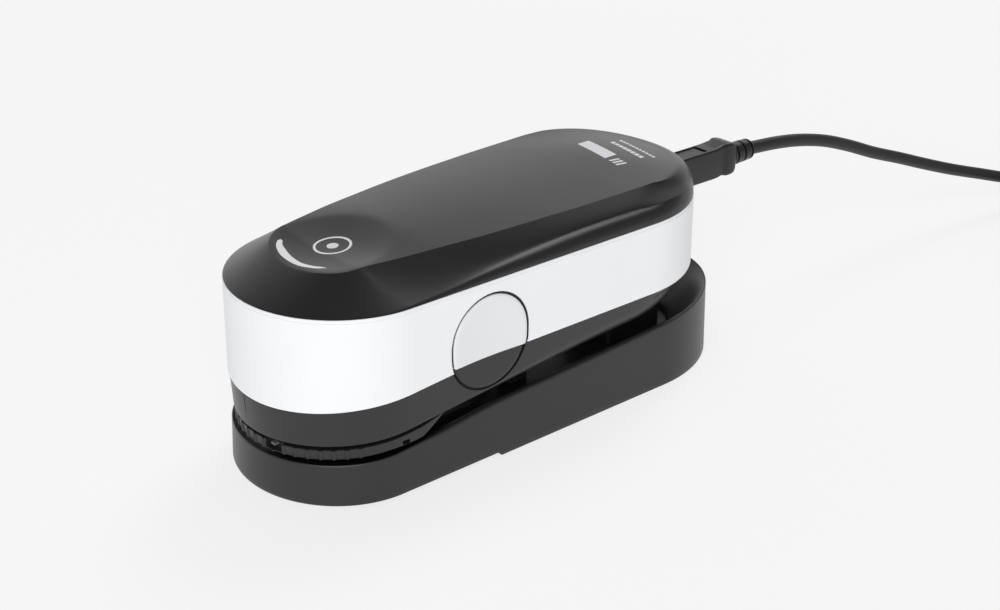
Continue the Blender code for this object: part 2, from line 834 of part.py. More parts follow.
def main():
    clear_scene()
    materials = {
        "shell": make_material("soft_touch_grey", (0.075, 0.075, 0.08), 0.55),
        "dark": make_material("dark_plastic", (0.05, 0.05, 0.055), 0.45),
        "white": make_material("white_satin", (0.82, 0.83, 0.86), 0.35),
        "base": make_material("base_plastic", (0.045, 0.045, 0.05), 0.5),
        "black": make_material("black_plastic", (0.015, 0.015, 0.017), 0.5),
        "rubber": make_material("rubber", (0.02, 0.02, 0.02), 0.8),
        "lead": make_material("lead_rubber", (0.035, 0.035, 0.04), 0.5),
        "steel": make_material("steel", (0.6, 0.6, 0.62), 0.3, 1.0),
        "aluminium": make_material("aluminium", (0.7, 0.7, 0.72), 0.35, 1.0),
        "glass": make_material("glass", (0.9, 0.92, 0.95), 0.05),
        "light": make_material("light_guide", (0.9, 0.9, 0.95), 0.4),
        "tile": make_material("white_ceramic", (0.93, 0.93, 0.92), 0.15),
        "board": make_material("circuit_board", (0.02, 0.16, 0.07), 0.5),
    }
    base = make_frame("base_frame")
    instrument = make_frame("instrument_frame", 0.0, 0.0, FOOT_BOTTOM, base)

    base_tray(materials["base"], base)
    base_fittings(materials, base)
    white_tile(materials, base)
    tile_cover(materials["dark"], base)

    top_shell(materials["shell"], instrument)
    status_light(materials["light"], instrument)
    side_band(materials["white"], instrument)
    lower_housing(materials["dark"], instrument)
    nose_flange(materials["black"], instrument)
    nose_strip(materials["dark"], instrument)
    nose_latch(materials["aluminium"], instrument)
    measuring_foot(materials["black"], instrument)
    optics(materials, instrument)
    electronics(materials, instrument)
    usb_socket(materials["steel"], instrument)
    places = housing_screw_places()
    screws("housing_screw", places, lambda y: housing_bottom(y) + 0.4, instrument, materials["steel"], 8.0)
    for word, side in (("right", 1), ("left", -1)):
        side_button(word, side, materials, instrument)

    near_plug(materials, instrument)
    lead("lead_cable", LEAD_ROUTE, materials["lead"], base)
    coil(materials, base)
    lead("lead_end", TAIL_ROUTE, materials["lead"], base)
    far_end(materials, base)


main()
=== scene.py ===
"""The looks of a hand-held colour-measuring instrument on its base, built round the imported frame.

Lengths are in millimetres in the instrument's own axes: x across, y from its middle towards the tail,
z up from the surface it stands on. place() turns them into the frame's metres.
"""

import math

import bmesh
import bpy
import numpy as np
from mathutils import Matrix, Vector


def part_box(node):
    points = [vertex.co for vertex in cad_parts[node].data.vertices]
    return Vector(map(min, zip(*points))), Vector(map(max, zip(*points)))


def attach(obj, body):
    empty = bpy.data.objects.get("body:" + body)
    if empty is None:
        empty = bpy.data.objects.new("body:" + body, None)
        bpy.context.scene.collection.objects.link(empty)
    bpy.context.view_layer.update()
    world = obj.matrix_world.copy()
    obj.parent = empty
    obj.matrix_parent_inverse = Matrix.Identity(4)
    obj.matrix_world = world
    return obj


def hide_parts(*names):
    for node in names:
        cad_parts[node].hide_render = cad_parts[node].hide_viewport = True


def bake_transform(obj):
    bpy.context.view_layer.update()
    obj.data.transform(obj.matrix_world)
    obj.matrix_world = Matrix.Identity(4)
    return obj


MM = 0.001
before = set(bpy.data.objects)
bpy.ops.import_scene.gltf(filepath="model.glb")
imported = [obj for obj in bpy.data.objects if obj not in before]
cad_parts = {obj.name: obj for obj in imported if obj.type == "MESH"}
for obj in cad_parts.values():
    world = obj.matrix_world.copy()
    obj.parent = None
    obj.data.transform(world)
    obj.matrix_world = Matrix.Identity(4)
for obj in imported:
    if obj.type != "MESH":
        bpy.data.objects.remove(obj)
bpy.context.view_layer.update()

# ---- driving sizes ----

LENGTH = 161.5
HALF_WIDTH = 33.9
NOSE = -LENGTH / 2
TAIL = LENGTH / 2
NOSE_CAP = 32.4
TAIL_CAP = 36.8
BAND_TOP = 59.25
BAND_DRAFT = 0.8
HOUSING_REACH = 1.5
BASE_LENGTH = 173.7
BASE_HALF_WIDTH = 32.9
BASE_NOSE = NOSE - 1.45
BASE_TAIL = BASE_NOSE + BASE_LENGTH
MIDDLE_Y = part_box("base_tray")[0].y - BASE_NOSE * MM  # the instrument's middle in the frame, in metres
BASE_NOSE_CAP = 30.3
BASE_TAIL_CAP = 39.6
DISH_Y = -52.0  # middle of the shallow dish at the deck's nose
DISH_RADIUS = 18.6
DISH_NOSE_RADIUS = 14.0
DISH_DEPTH = 1.3
DISH_EDGE_SOFTNESS = 0.07
APERTURE_Y = -52.0
BUTTON_Y = -20.65
BUTTON_Z = 40.2
BUTTON_SPLIT_Z = 35.65
CABLE_DIAMETER = 4.6
LEAD_Z = 55.6

CAMERA_AZIMUTH = 50.45
CAMERA_ELEVATION = 25.89
CAMERA_DISTANCE = 475.55
CAMERA_TARGET = (0.0, 10.36, 29.62)
CAMERA_LENS = 54.74


def place(x, y, z):
    """A point in the frame, in metres."""
    return (x * MM, y * MM + MIDDLE_Y, z * MM)


# ---- camera ----


def make_camera():
    turn, rise = math.radians(CAMERA_AZIMUTH), math.radians(CAMERA_ELEVATION)
    back = (math.sin(turn) * math.cos(rise), -math.cos(turn) * math.cos(rise), math.sin(rise))
    spot = [t + CAMERA_DISTANCE * b for t, b in zip(CAMERA_TARGET, back)]
    data = bpy.data.cameras.new("camera")
    data.lens = CAMERA_LENS
    data.sensor_width = 36.0
    data.clip_start = 0.01
    data.clip_end = 20.0
    camera = bpy.data.objects.new("camera", data)
    camera.location = place(*spot)
    camera.rotation_euler = (math.pi / 2 - rise, 0.0, turn)
    bpy.context.collection.objects.link(camera)
    bpy.context.scene.camera = camera


# ---- mesh helpers ----


class Skin:
    """Points and faces of one mesh, gathered ring by ring."""

    def __init__(self):
        self.points = []
        self.faces = []

    def ring(self, points):
        first = len(self.points)
        self.points.extend(points)
        return list(range(first, len(self.points)))

    def face(self, corners):
        self.faces.append(tuple(corners))

    def bridge(self, low, high, closed=True):
        count = len(low)
        for k in range(count if closed else count - 1):
            nxt = (k + 1) % count
            self.face((low[k], low[nxt], high[nxt], high[k]))

    def loft(self, rings, closed=True):
        """Rings of points, joined one to the next. Returns their indices."""
        made = [self.ring(points) for points in rings]
        for low, high in zip(made[:-1], made[1:]):
            self.bridge(low, high, closed)
        return made

    def solid(self, rings):
        """A loft with a face on each end."""
        made = self.loft(rings)
        self.face(made[0])
        self.face(made[-1])

    def sleeve(self, rings):
        """A loft whose last ring joins its first."""
        made = self.loft(rings)
        self.bridge(made[-1], made[0])

    def build(self, name, materials, smooth_angle=35.0):
        mesh = bpy.data.meshes.new(name)
        mesh.from_pydata([place(*p) for p in self.points], [], self.faces)
        for material in materials:
            mesh.materials.append(material)
        shape = bmesh.new()
        shape.from_mesh(mesh)
        bmesh.ops.remove_doubles(shape, verts=shape.verts, dist=1e-7)
        bmesh.ops.recalc_face_normals(shape, faces=shape.faces)
        shape.to_mesh(mesh)
        shape.free()
        smooth(mesh, smooth_angle)
        obj = bpy.data.objects.new(name, mesh)
        bpy.context.collection.objects.link(obj)
        return obj


def smooth(mesh, angle=35.0):
    """Smooth shading, with the edges over the angle left crisp."""
    mesh.shade_smooth()
    mesh.set_sharp_from_angle(angle=math.radians(angle))


def apply_modifiers(obj):
    """Turns what the modifiers make into the object's own mesh."""
    graph = bpy.context.evaluated_depsgraph_get()
    made = bpy.data.meshes.new_from_object(obj.evaluated_get(graph), depsgraph=graph)
    old = obj.data
    obj.modifiers.clear()
    obj.data = made
    bpy.data.meshes.remove(old)


def cut_away(obj, others, smooth_angle=35.0):
    """Cuts others from obj, and removes them."""
    for other in others:
        modifier = obj.modifiers.new(other.name, "BOOLEAN")
        modifier.operation = "DIFFERENCE"
        modifier.object = other
        modifier.solver = "EXACT"
    apply_modifiers(obj)
    for other in others:
        bpy.data.objects.remove(other, do_unlink=True)
    smooth(obj.data, smooth_angle)


def show(obj, body, slot, *nodes):
    """Puts a finished piece on its body, and hides the CAD nodes that it stands for; slot is not used."""
    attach(obj, body)
    if nodes:
        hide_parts(*nodes)
    return obj


def smooth_step(value, start, end):
    t = min(max((value - start) / (end - start), 0.0), 1.0)
    return t * t * (3 - 2 * t)


def follow(table, y):
    """A smooth curve through (y, value) pairs, level beyond its ends."""
    if y <= table[0][0]:
        return table[0][1]
    if y >= table[-1][0]:
        return table[-1][1]
    k = next(n for n in range(len(table) - 1) if y <= table[n + 1][0])

    def slope(n):
        before, after = table[max(n - 1, 0)], table[min(n + 1, len(table) - 1)]
        return (after[1] - before[1]) / (after[0] - before[0])

    (y0, v0), (y1, v1) = table[k], table[k + 1]
    span = y1 - y0
    t = (y - y0) / span
    return (
        v0 * (1 + 2 * t) * (1 - t) ** 2
        + slope(k) * span * t * (1 - t) ** 2
        + v1 * t * t * (3 - 2 * t)
        + slope(k + 1) * span * t * t * (t - 1)
    )


PER_CAP = 64  # steps round each end of an outline
PER_SIDE = 72  # steps along each side


def outline(half_width, nose, tail, nose_cap, tail_cap):
    """A long round-ended outline from +x round the nose to -x, back to the tail and round it."""
    width = half_width if callable(half_width) else lambda y: half_width
    front, rear = nose + nose_cap, tail - tail_cap
    points = []
    for k in range(PER_CAP + 1):
        turn = math.pi * k / PER_CAP
        points.append((width(front) * math.cos(turn), front - nose_cap * math.sin(turn)))
    for k in range(1, PER_SIDE):
        y = front + (rear - front) * k / PER_SIDE
        points.append((-width(y), y))
    for k in range(PER_CAP + 1):
        turn = math.pi * k / PER_CAP
        points.append((-width(rear) * math.cos(turn), rear + tail_cap * math.sin(turn)))
    for k in range(1, PER_SIDE):
        y = rear + (front - rear) * k / PER_SIDE
        points.append((width(y), y))
    return points


def body_outline(inset, reach=0.0):
    """The instrument's outline, drawn in by inset all round and let out by reach at its nose."""
    return outline(
        HALF_WIDTH - inset,
        NOSE + inset - reach,
        TAIL - inset + reach / 2,
        NOSE_CAP - inset + reach,
        TAIL_CAP - inset + reach / 2,
    )


def base_outline(inset):
    return outline(
        BASE_HALF_WIDTH - inset,
        BASE_NOSE + inset,
        BASE_TAIL - inset,
        BASE_NOSE_CAP - inset,
        BASE_TAIL_CAP - inset,
    )


def raised(flat, height):
    level = height if callable(height) else lambda y: height
    return [(x, y, level(y)) for x, y in flat]


def circle(x, y, radius, count=48):
    turns = [2 * math.pi * k / count for k in range(count)]
    return [(x + radius * math.cos(t), y + radius * math.sin(t)) for t in turns]


def rounded_box(x0, x1, y0, y1, radius, per_corner=6):
    corners = (
        (x1 - radius, y1 - radius, 0),
        (x0 + radius, y1 - radius, 90),
        (x0 + radius, y0 + radius, 180),
        (x1 - radius, y0 + radius, 270),
    )
    points = []
    for x, y, start in corners:
        for k in range(per_corner + 1):
            turn = math.radians(start + 90 * k / per_corner)
            points.append((x + radius * math.cos(turn), y + radius * math.sin(turn)))
    return points


def slab(name, flat, low, high):
    """A plain closed slab, for cutting with."""
    skin = Skin()
    skin.solid([raised(flat, low), raised(flat, high)])
    return skin.build(name, [])


def mirror_grid(skin, ring, height, columns):
    """Fills a ring whose points pair up across x = 0 with rows of points at height(x, y)."""
    count = len(ring)
    nose_half = PER_CAP // 2
    tail_start = PER_CAP + PER_SIDE
    order = [(nose_half - k, nose_half + k) for k in range(nose_half + 1)]
    order += [((count - k) % count, PER_CAP + k) for k in range(1, PER_SIDE)]
    order += [(tail_start + PER_CAP - k, tail_start + k) for k in range(nose_half + 1)]

    def between(a, b, t):
        x, y = a[0] + (b[0] - a[0]) * t, a[1] + (b[1] - a[1]) * t
        return (x, y, height(x, y))

    previous = None
    for right, left in order:
        if right == left:
            row = [ring[right]] * (columns + 1)
        else:
            a, b = skin.points[ring[right]], skin.points[ring[left]]
            inner = skin.ring([between(a, b, c / columns) for c in range(1, columns)])
            row = [ring[right], *inner, ring[left]]
        if previous is not None:
            for c in range(columns):
                corners = dict.fromkeys((previous[c], previous[c + 1], row[c + 1], row[c]))
                if len(corners) > 2:
                    skin.face(corners)
        previous = row


# ---- materials ----


class Nodes:
    """A material's node tree, with the object's own coordinates in millimetres to hand."""

    def __init__(self, name):
        self.material = bpy.data.materials.new(name)
        self.material.use_nodes = True
        self.tree = self.material.node_tree
        self.shader = self.tree.nodes["Principled BSDF"]
        coordinates = self.tree.nodes.new("ShaderNodeTexCoord")
        scale = self.tree.nodes.new("ShaderNodeVectorMath")
        scale.operation = "SCALE"
        scale.inputs["Scale"].default_value = 1 / MM
        self.link(coordinates.outputs["Object"], scale.inputs[0])
        self.where = scale.outputs[0]

    def link(self, output, socket):
        self.tree.links.new(output, socket)

    def feed(self, output, name):
        """Links an output to one of the shader's own inputs."""
        self.link(output, self.shader.inputs[name])

    def set(self, **values):
        """Sets the shader's own inputs, with underscores for the spaces in their names."""
        for name, value in values.items():
            self.shader.inputs[name.replace("_", " ")].default_value = value

    def noise(self, size, detail=2.0, roughness=0.5):
        """Noise whose lumps are about size millimetres across."""
        node = self.tree.nodes.new("ShaderNodeTexNoise")
        node.inputs["Scale"].default_value = 1 / size
        node.inputs["Detail"].default_value = detail
        node.inputs["Roughness"].default_value = roughness
        self.link(self.where, node.inputs["Vector"])
        return node.outputs[0]

    def spread(self, value, low, high, start=0.3, end=0.7):
        """Maps a value from start..end to low..high."""
        node = self.tree.nodes.new("ShaderNodeMapRange")
        for name, number in (("From Min", start), ("From Max", end), ("To Min", low), ("To Max", high)):
            node.inputs[name].default_value = number
        self.link(value, node.inputs["Value"])
        return node.outputs[0]

    def mix(self, share, first, second):
        node = self.tree.nodes.new("ShaderNodeMix")
        node.data_type = "RGBA"
        node.inputs["A"].default_value = (*first, 1.0)
        node.inputs["B"].default_value = (*second, 1.0)
        self.link(share, node.inputs["Factor"])
        return node.outputs["Result"]

    def bump(self, height, depth):
        """Surface relief of so many millimetres."""
        node = self.tree.nodes.new("ShaderNodeBump")
        node.inputs["Distance"].default_value = depth * MM
        node.inputs["Strength"].default_value = 1.0
        self.link(height, node.inputs["Height"])
        return node.outputs[0]


def shade(colour, factor):
    return tuple(min(c * factor, 1.0) for c in colour)


def plastic(name, colour, roughness, grain, depth, change=0.06, specular=0.5, **more):
    """Moulded plastic: fine grain in its relief and gloss, and a faint cloudiness in its colour."""
    nodes = Nodes(name)
    fine = nodes.noise(grain, 3.0, 0.6)
    cloud = nodes.noise(14.0, 2.0)
    tint = nodes.spread(cloud, 0.0, 1.0)
    nodes.feed(nodes.mix(tint, shade(colour, 1 - change), shade(colour, 1 + change)), "Base Color")
    nodes.feed(nodes.spread(fine, roughness - 0.04, roughness + 0.04), "Roughness")
    nodes.feed(nodes.bump(fine, depth), "Normal")
    nodes.set(Specular_IOR_Level=specular, **more)
    return nodes.material


def metal(name, colour, roughness):
    """Plated or machined metal with a faint grain in its gloss."""
    nodes = Nodes(name)
    fine = nodes.noise(0.25, 4.0, 0.7)
    cloud = nodes.spread(nodes.noise(5.0), 0.0, 1.0)
    nodes.feed(nodes.mix(cloud, shade(colour, 0.93), shade(colour, 1.05)), "Base Color")
    nodes.feed(nodes.spread(fine, roughness - 0.06, roughness + 0.08), "Roughness")
    nodes.feed(nodes.bump(fine, 0.002), "Normal")
    nodes.set(Metallic=1.0)
    return nodes.material


def circuit_board():
    """Green solder mask over copper lands and tracks."""
    nodes = Nodes("circuit_board")
    cells = nodes.tree.nodes.new("ShaderNodeTexBrick")
    cells.inputs["Scale"].default_value = 0.25
    cells.inputs["Mortar Size"].default_value = 0.03
    cells.inputs["Color1"].default_value = (0.012, 0.11, 0.045, 1.0)
    cells.inputs["Color2"].default_value = (0.014, 0.14, 0.055, 1.0)
    cells.inputs["Mortar"].default_value = (0.03, 0.22, 0.1, 1.0)
    nodes.link(nodes.where, cells.inputs["Vector"])
    nodes.feed(cells.outputs["Color"], "Base Color")
    nodes.feed(nodes.spread(nodes.noise(2.0), 0.3, 0.42), "Roughness")
    nodes.feed(nodes.bump(cells.outputs["Fac"], 0.03), "Normal")
    return nodes.material


def window_glass():
    nodes = Nodes("window_glass")
    share = nodes.spread(nodes.noise(6.0), 0.0, 1.0)
    nodes.feed(nodes.spread(nodes.noise(3.0), 0.03, 0.07), "Roughness")
    nodes.feed(nodes.mix(share, (0.9, 0.93, 0.95), (0.95, 0.96, 0.97)), "Base Color")
    nodes.set(Transmission_Weight=0.9, IOR=1.5)
    return nodes.material


def make_materials():
    return {
        "shell": plastic("soft_touch_paint", (0.013, 0.013, 0.0143), 0.36, 0.35, 0.003),
        "white": plastic(
            "white_satin_plastic", (0.835, 0.845, 0.865), 0.45, 0.5, 0.0003, 0.005, specular=0.3
        ),
        # painted shade: the button's white is a darker copy of the band's white, standing in for the shade in
        # its dish
        "cap": plastic("white_button_plastic_painted_dish_shade", (0.76, 0.77, 0.785), 0.42, 0.5, 0.0003, 0.005, specular=0.3),
        "dark": plastic("dark_moulded_plastic", (0.0145, 0.0143, 0.016), 0.36, 0.4, 0.004),
        "base": plastic("base_moulded_plastic", (0.0135, 0.0132, 0.0148), 0.38, 0.45, 0.005, specular=0.48),
        "catch": plastic("grey_catch_plastic", (0.13, 0.13, 0.14), 0.4, 0.4, 0.003),
        "black": plastic("black_plastic", (0.006, 0.006, 0.007), 0.45, 0.4, 0.004),
        "rubber": plastic("rubber", (0.012, 0.012, 0.012), 0.75, 0.6, 0.02),
        "plug": plastic("plug_overmould", (0.01, 0.01, 0.0115), 0.38, 0.3, 0.005, specular=0.42),
        "lead": plastic("lead_jacket", (0.016, 0.016, 0.0175), 0.5, 0.3, 0.006, specular=0.36),
        "steel": metal("nickel_plate", (0.62, 0.61, 0.59), 0.28),
        "aluminium": metal("aluminium", (0.75, 0.76, 0.77), 0.35),
        "glass": window_glass(),
        "light": plastic("light_guide", (0.92, 0.92, 0.95), 0.25, 0.6, 0.001, 0.01, Coat_Weight=0.3),
        "tile": plastic("white_glaze", (0.88, 0.88, 0.87), 0.08, 2.0, 0.002, 0.01, Coat_Weight=0.6),
        "print": plastic("white_print", (0.86, 0.86, 0.88), 0.5, 0.3, 0.002, 0.03),
        "board": circuit_board(),
        # painted shade: near-black, darker than any plastic here, for the sleeves in the gaps round the
        # buttons
        "painted_gap_shade": plastic("painted_gap_shade_black", (0.003, 0.003, 0.003), 0.8, 0.5, 0.002),
    }


# ---- heights that follow the length ----

DECK_EDGE_LINE = (
    (-67.0, 65.8), (-63.0, 66.67), (-60.0, 67.06), (-57.0, 67.45), (-54.0, 67.85),
    (-44.0, 68.2), (-36.0, 68.5), (-20.0, 68.9), (0.0, 69.4), (20.0, 69.75),
    (44.0, 70.15), (54.0, 70.25), (62.0, 70.0), (68.0, 69.5), (72.5, 68.9),
)
DECK_WIDTH_LINE = (
    (-54.0, 19.1), (-44.0, 21.2), (-36.0, 22.6), (-28.0, 23.7),
    (-20.0, 24.8), (-12.0, 25.7), (-4.0, 26.4), (4.0, 27.0),
    (12.0, 27.5), (20.0, 28.0), (36.0, 28.5), (52.0, 28.9),
)
DECK_NOSE = -66.5
DECK_NOSE_CAP = 12.9
DECK_TAIL = 72.5
DECK_TAIL_CAP = 28.5
DECK_CROWN = 1.16
RIDGE_LINE = ((-52, 59.9), (-40, 60.3), (-31, 60.9), (-17, 62.0), (6, 63.1), (22, 63.6), (60, 63.8))
BAND_BOTTOM_Z = 35.8
HOUSING_LINE = (
    (-81, 19.3), (-60, 20.2), (-40, 22.0), (-20, 23.2), (0, 24.1),
    (20, 24.9), (40, 25.6), (60, 26.4), (70, 27.4),
)
RIM_LINE = ((-82, 14.7), (-60, 14.9), (-40, 16.4), (-20, 18.7), (0, 19.9), (40, 21.9), (68, 23.8), (92, 25.2))


def band_bottom(y):
    dip = min(max((-10.0 - y) / 70.75, 0.0), 1.0)
    return BAND_BOTTOM_Z - 5.6 * dip**1.3


# ---- the top cover ----


def deck_outline(inset):
    def width(y):
        return follow(DECK_WIDTH_LINE, y) - inset

    return outline(
        width, DECK_NOSE + inset, DECK_TAIL - inset, DECK_NOSE_CAP - inset, DECK_TAIL_CAP - inset
    )


def dish(x, y):
    """How deep the dish is here; its edge is a soft crease."""
    run = DISH_RADIUS if y > DISH_Y else DISH_NOSE_RADIUS
    level = 1 - (x / DISH_RADIUS) ** 2 - ((y - DISH_Y) / run) ** 2
    return DISH_DEPTH * (level + math.sqrt(level**2 + DISH_EDGE_SOFTNESS**2)) / 2


def deck_surface(x, y):
    """The deck's height: a low crown, rounding off level at its tail, with the dish at its nose."""
    edge = follow(DECK_EDGE_LINE, y)
    width = follow(DECK_WIDTH_LINE, y)
    beyond = max(y - (DECK_TAIL - DECK_TAIL_CAP), 0.0) / DECK_TAIL_CAP
    inside = max(1 - (x / width) ** 2 - beyond**2, 0.0)
    grow = smooth_step(y, -52.0, -30.0)
    return edge + DECK_CROWN * grow * inside ** (1 + smooth_step(y, 34.0, 54.0)) - dish(x, y)


RIDGE_SLOPE = 0.36  # how steeply the ridge still rises inwards where the flank is fully hollow
COVER_EDGE_STEPS = 10
COVER_COVE_STEPS = 24


def cove_height(t, hollow, soft, start, power):
    """How far up the cove is, from the ridge at 0 to the deck's edge at 1; soft rounds it over at the top."""
    curve = start * t + (1 - start) * t**power
    curve += soft * (t * t * (3 - 2 * t) - curve)
    return t + hollow * (curve - t)


def cover_spoke(edge, crease, drop=0.0):
    """Points of the cover from the band's edge in to the deck's edge."""
    (ex, ey), (cx, cy) = edge, crease
    run = math.hypot(cx - ex, cy - ey)
    top = follow(DECK_EDGE_LINE, cy)
    low = BAND_TOP + 0.02
    soft = smooth_step(ey, 36.0, 54.0)
    ridge = follow(RIDGE_LINE, ey)
    inset = min(0.9 + 2.3 * smooth_step(ey, -42.0, 10.0), 0.6 * run)
    start = RIDGE_SLOPE * (run - inset) / (top - ridge)
    power = 1 + 6.0 / (run - inset)
    hollow = smooth_step(ey, -60.0, -18.0)
    slope = (top - ridge) / (run - inset) * (1 + hollow * (start - 1))
    corner = max(ridge - slope * inset, low + 0.1)
    points = []
    for k in range(COVER_EDGE_STEPS):
        u = k / COVER_EDGE_STEPS
        points.append((inset * u**2, low * (1 - u) ** 2 + 2 * corner * u * (1 - u) + ridge * u**2))
    for k in range(COVER_COVE_STEPS + 1):
        t = k / COVER_COVE_STEPS
        share = cove_height(t, hollow, soft, start, power)
        points.append((inset + (run - inset) * t, ridge + (top - ridge) * share))
    last = len(points) - 1
    for k, (d, z) in enumerate(points):
        tail = smooth_step(ey + 13.0 * k / last, 48.0, 68.0)
        if tail > 0:
            turn = math.pi / 2 * k / last
            round_d = run * (1 - math.cos(turn) ** 1.05)
            round_z = low + (top - low) * math.sin(turn) ** 0.92
            points[k] = (d + (round_d - d) * tail, z + (round_z - z) * tail)
    return [(ex + (cx - ex) * d / run, ey + (cy - ey) * d / run, z - drop) for d, z in points]


def cover_rings(inset, drop):
    spokes = [
        cover_spoke(edge, crease, drop)
        for edge, crease in zip(body_outline(0.15 + inset), deck_outline(inset))
    ]
    return [list(ring) for ring in zip(*spokes)]


def deck_ring(inset, drop):
    return [(x, y, deck_surface(x, y) - drop) for x, y in deck_outline(inset)]


def top_cover(material):
    """The dark shell: a crowned deck with a crisp edge, a hollow flank and a ridge that dies at the nose."""
    skin = Skin()
    wall = 1.9
    outside = skin.loft(cover_rings(0.0, 0.0) + [deck_ring(inset, 0.0) for inset in (0.35, 1.0, 2.0)])
    inside = skin.loft(cover_rings(wall, wall)[4:] + [deck_ring(wall + 1.0, wall)])
    foot = skin.ring(raised(body_outline(wall + 0.15), BAND_TOP + 0.3))
    skin.bridge(outside[0], foot)
    skin.bridge(foot, inside[0])
    mirror_grid(skin, outside[-1], deck_surface, 44)
    mirror_grid(skin, inside[-1], lambda x, y: deck_surface(x, y) - wall, 8)
    cover = skin.build("top_cover", [material], 21.0)
    cut_away(cover, [socket_cutter([material])], smooth_angle=21.0)
    return show(cover, "instrument", "soft_touch_shell", "top_shell")


LIGHT_LINE = (
    (-12.9, -59.0), (-11.9, -60.1), (-9.5, -61.6), (-4.0, -63.2),
    (2.7, -63.6), (7.6, -62.2), (11.2, -59.8),
)


def light_outline(grow):
    """The status light: an arc inside the dish's front edge, blunt at one end and pointed at the other."""
    line = [p[:2] for p in smooth_path([(x, y, 0.0) for x, y in LIGHT_LINE], 0.7)]
    last = len(line) - 1
    outer, inner = [], []
    for k, (x, y) in enumerate(line):
        t = k / last
        ahead = line[min(k + 1, last)] - line[max(k - 1, 0)]
        ahead = ahead / np.linalg.norm(ahead)
        blunt = math.sqrt(1 - (1 - min(t / 0.05, 1.0)) ** 2)
        swell = 0.72 + 0.42 * smooth_step(t, 0.0, 0.3) - 0.62 * max(t - 0.35, 0.0) / 0.65
        half = blunt * swell * (1 - max(t - 0.93, 0.0) / 0.07) + 0.03 + grow
        outer.append((x + ahead[1] * half, y - ahead[0] * half))
        inner.append((x - ahead[1] * half, y + ahead[0] * half))
    return outer + inner[::-1]


def status_light(material):
    skin = Skin()
    rings = [[(x, y, 63.5) for x, y in light_outline(0.0)]]
    for grow, lift in ((0.0, -0.02), (-0.03, 0.03), (-0.1, 0.05)):
        rings.append([(x, y, deck_surface(x, y) + lift) for x, y in light_outline(grow)])
    made = skin.loft(rings)
    skin.face(made[0])
    top = made[-1]
    for k in range(len(top) // 2 - 1):
        skin.face((top[k], top[k + 1], top[-2 - k], top[-1 - k]))
    return show(skin.build("status_light_guide", [material]), "instrument", "light_guide", "status_light")


def print_patch(skin, corners, rows, columns, thick=0.03):
    """A four-cornered patch of print that follows the deck."""
    (ax, ay), (bx, by), (cx, cy), (dx, dy) = corners
    grids = []
    for lift in (-thick, thick):
        grid = []
        for i in range(rows + 1):
            v = i / rows
            row = []
            for j in range(columns + 1):
                u = j / columns
                x = (ax + (bx - ax) * u) * (1 - v) + (dx + (cx - dx) * u) * v
                y = (ay + (by - ay) * u) * (1 - v) + (dy + (cy - dy) * u) * v
                row.append((x, y, deck_surface(x, y) + lift))
            grid.append(skin.ring(row))
        for low, high in zip(grid[:-1], grid[1:]):
            skin.bridge(low, high, closed=False)
        grids.append(grid)
    rims = []
    for grid in grids:
        right = [row[-1] for row in grid[1:-1]]
        left = [row[0] for row in grid[1:-1]]
        rims.append([*grid[0], *right, *grid[-1][::-1], *left[::-1]])
    skin.bridge(rims[0], rims[1])


def print_ring(skin, x, y, outer, inner, thick=0.03):
    """A printed ring, or a dot where inner is 0."""
    radii = [outer - (outer - max(inner, 0.05)) * k / 3 for k in range(4)]
    rings = [
        [(u, v, deck_surface(u, v) + lift) for u, v in circle(x, y, radius)]
        for lift, row in ((-thick, radii[::-1]), (thick, radii))
        for radius in row
    ]
    if inner:
        skin.sleeve(rings)
    else:
        skin.solid(rings)


def nose_mark(material):
    """A plain ring with a dot in it, where the instrument has its maker's sign."""
    skin = Skin()
    print_ring(skin, 0.0, -50.3, 5.5, 4.75)
    print_ring(skin, 0.0, -50.3, 1.7, 0.0)
    return show(skin.build("nose_ring_mark", [material]), "instrument", "light_guide")


PRINT_SLOPE = 0.16


def tail_bar(x0, x1, across, high, lean=0.0):
    """A bar of the tail's printing, which runs a little askew."""
    low0, low1 = across - PRINT_SLOPE * x0, across - PRINT_SLOPE * x1
    return ((x0, low0), (x1, low1), (x1 + lean, low1 + high), (x0 + lean, low0 + high))


def tail_mark(material):
    """Plain bars across the tail, where the instrument has its printing."""
    skin = Skin()
    print_patch(skin, tail_bar(-9.4, 6.1, 48.8, 5.3, -0.4), 6, 16)
    for x in (8.0, 9.8, 11.6):
        print_patch(skin, tail_bar(x, x + 0.9, 48.9, 3.8, 0.5), 5, 1)
    for across, start, dashes, long, high in ((59.6, -5.0, 8, 1.7, 1.7), (64.0, -5.5, 11, 1.3, 1.1)):
        for k in range(dashes):
            x = start + k * (long + 0.45)
            print_patch(skin, tail_bar(x, x + long, across, high), 3, 3)
    return show(skin.build("tail_bar_mark", [material]), "instrument", "light_guide")


# ---- the white band and the housing under it ----


def button_outline(grow, per_half=32):
    """A near-round outline in (y, z), from its nose side."""
    radius, straight = 13.4 + grow, 2.2
    points = []
    for half, lift in ((0, straight / 2), (1, -straight / 2)):
        for k in range(per_half + 1):
            turn = math.radians(180 * half + 180 * k / per_half)
            points.append((BUTTON_Y + radius * math.cos(turn), BUTTON_Z + lift + radius * math.sin(turn)))
    return points


def button_cutter(side):
    """Cuts the button's hole with a small chamfer at the outside."""
    skin = Skin()
    profile = ((26.0, 0.75), (33.6, 0.75), (33.95, 0.95), (40.0, 0.95))
    skin.solid([[(side * x, y, z) for y, z in button_outline(grow)] for x, grow in profile])
    return skin.build(f"button_cutter_{side}", [])


def socket_cutter(materials=()):
    flat = rounded_box(-4.7, 4.7, LEAD_Z - 6.2, LEAD_Z + 6.2, 1.2)
    skin = Skin()
    skin.solid([[(x, y, z) for x, z in flat] for y in (70.0, 92.0)])
    return skin.build("socket_cutter", materials)


# How far in and how high the band's top edge runs, with a fine groove under its lip.
LIP_PROFILE = (
    (0.0, 58.08), (0.22, 58.18), (0.22, 58.4), (0.0, 58.5), (0.0, 58.95), (0.1, 59.18), (0.3, 59.25),
)


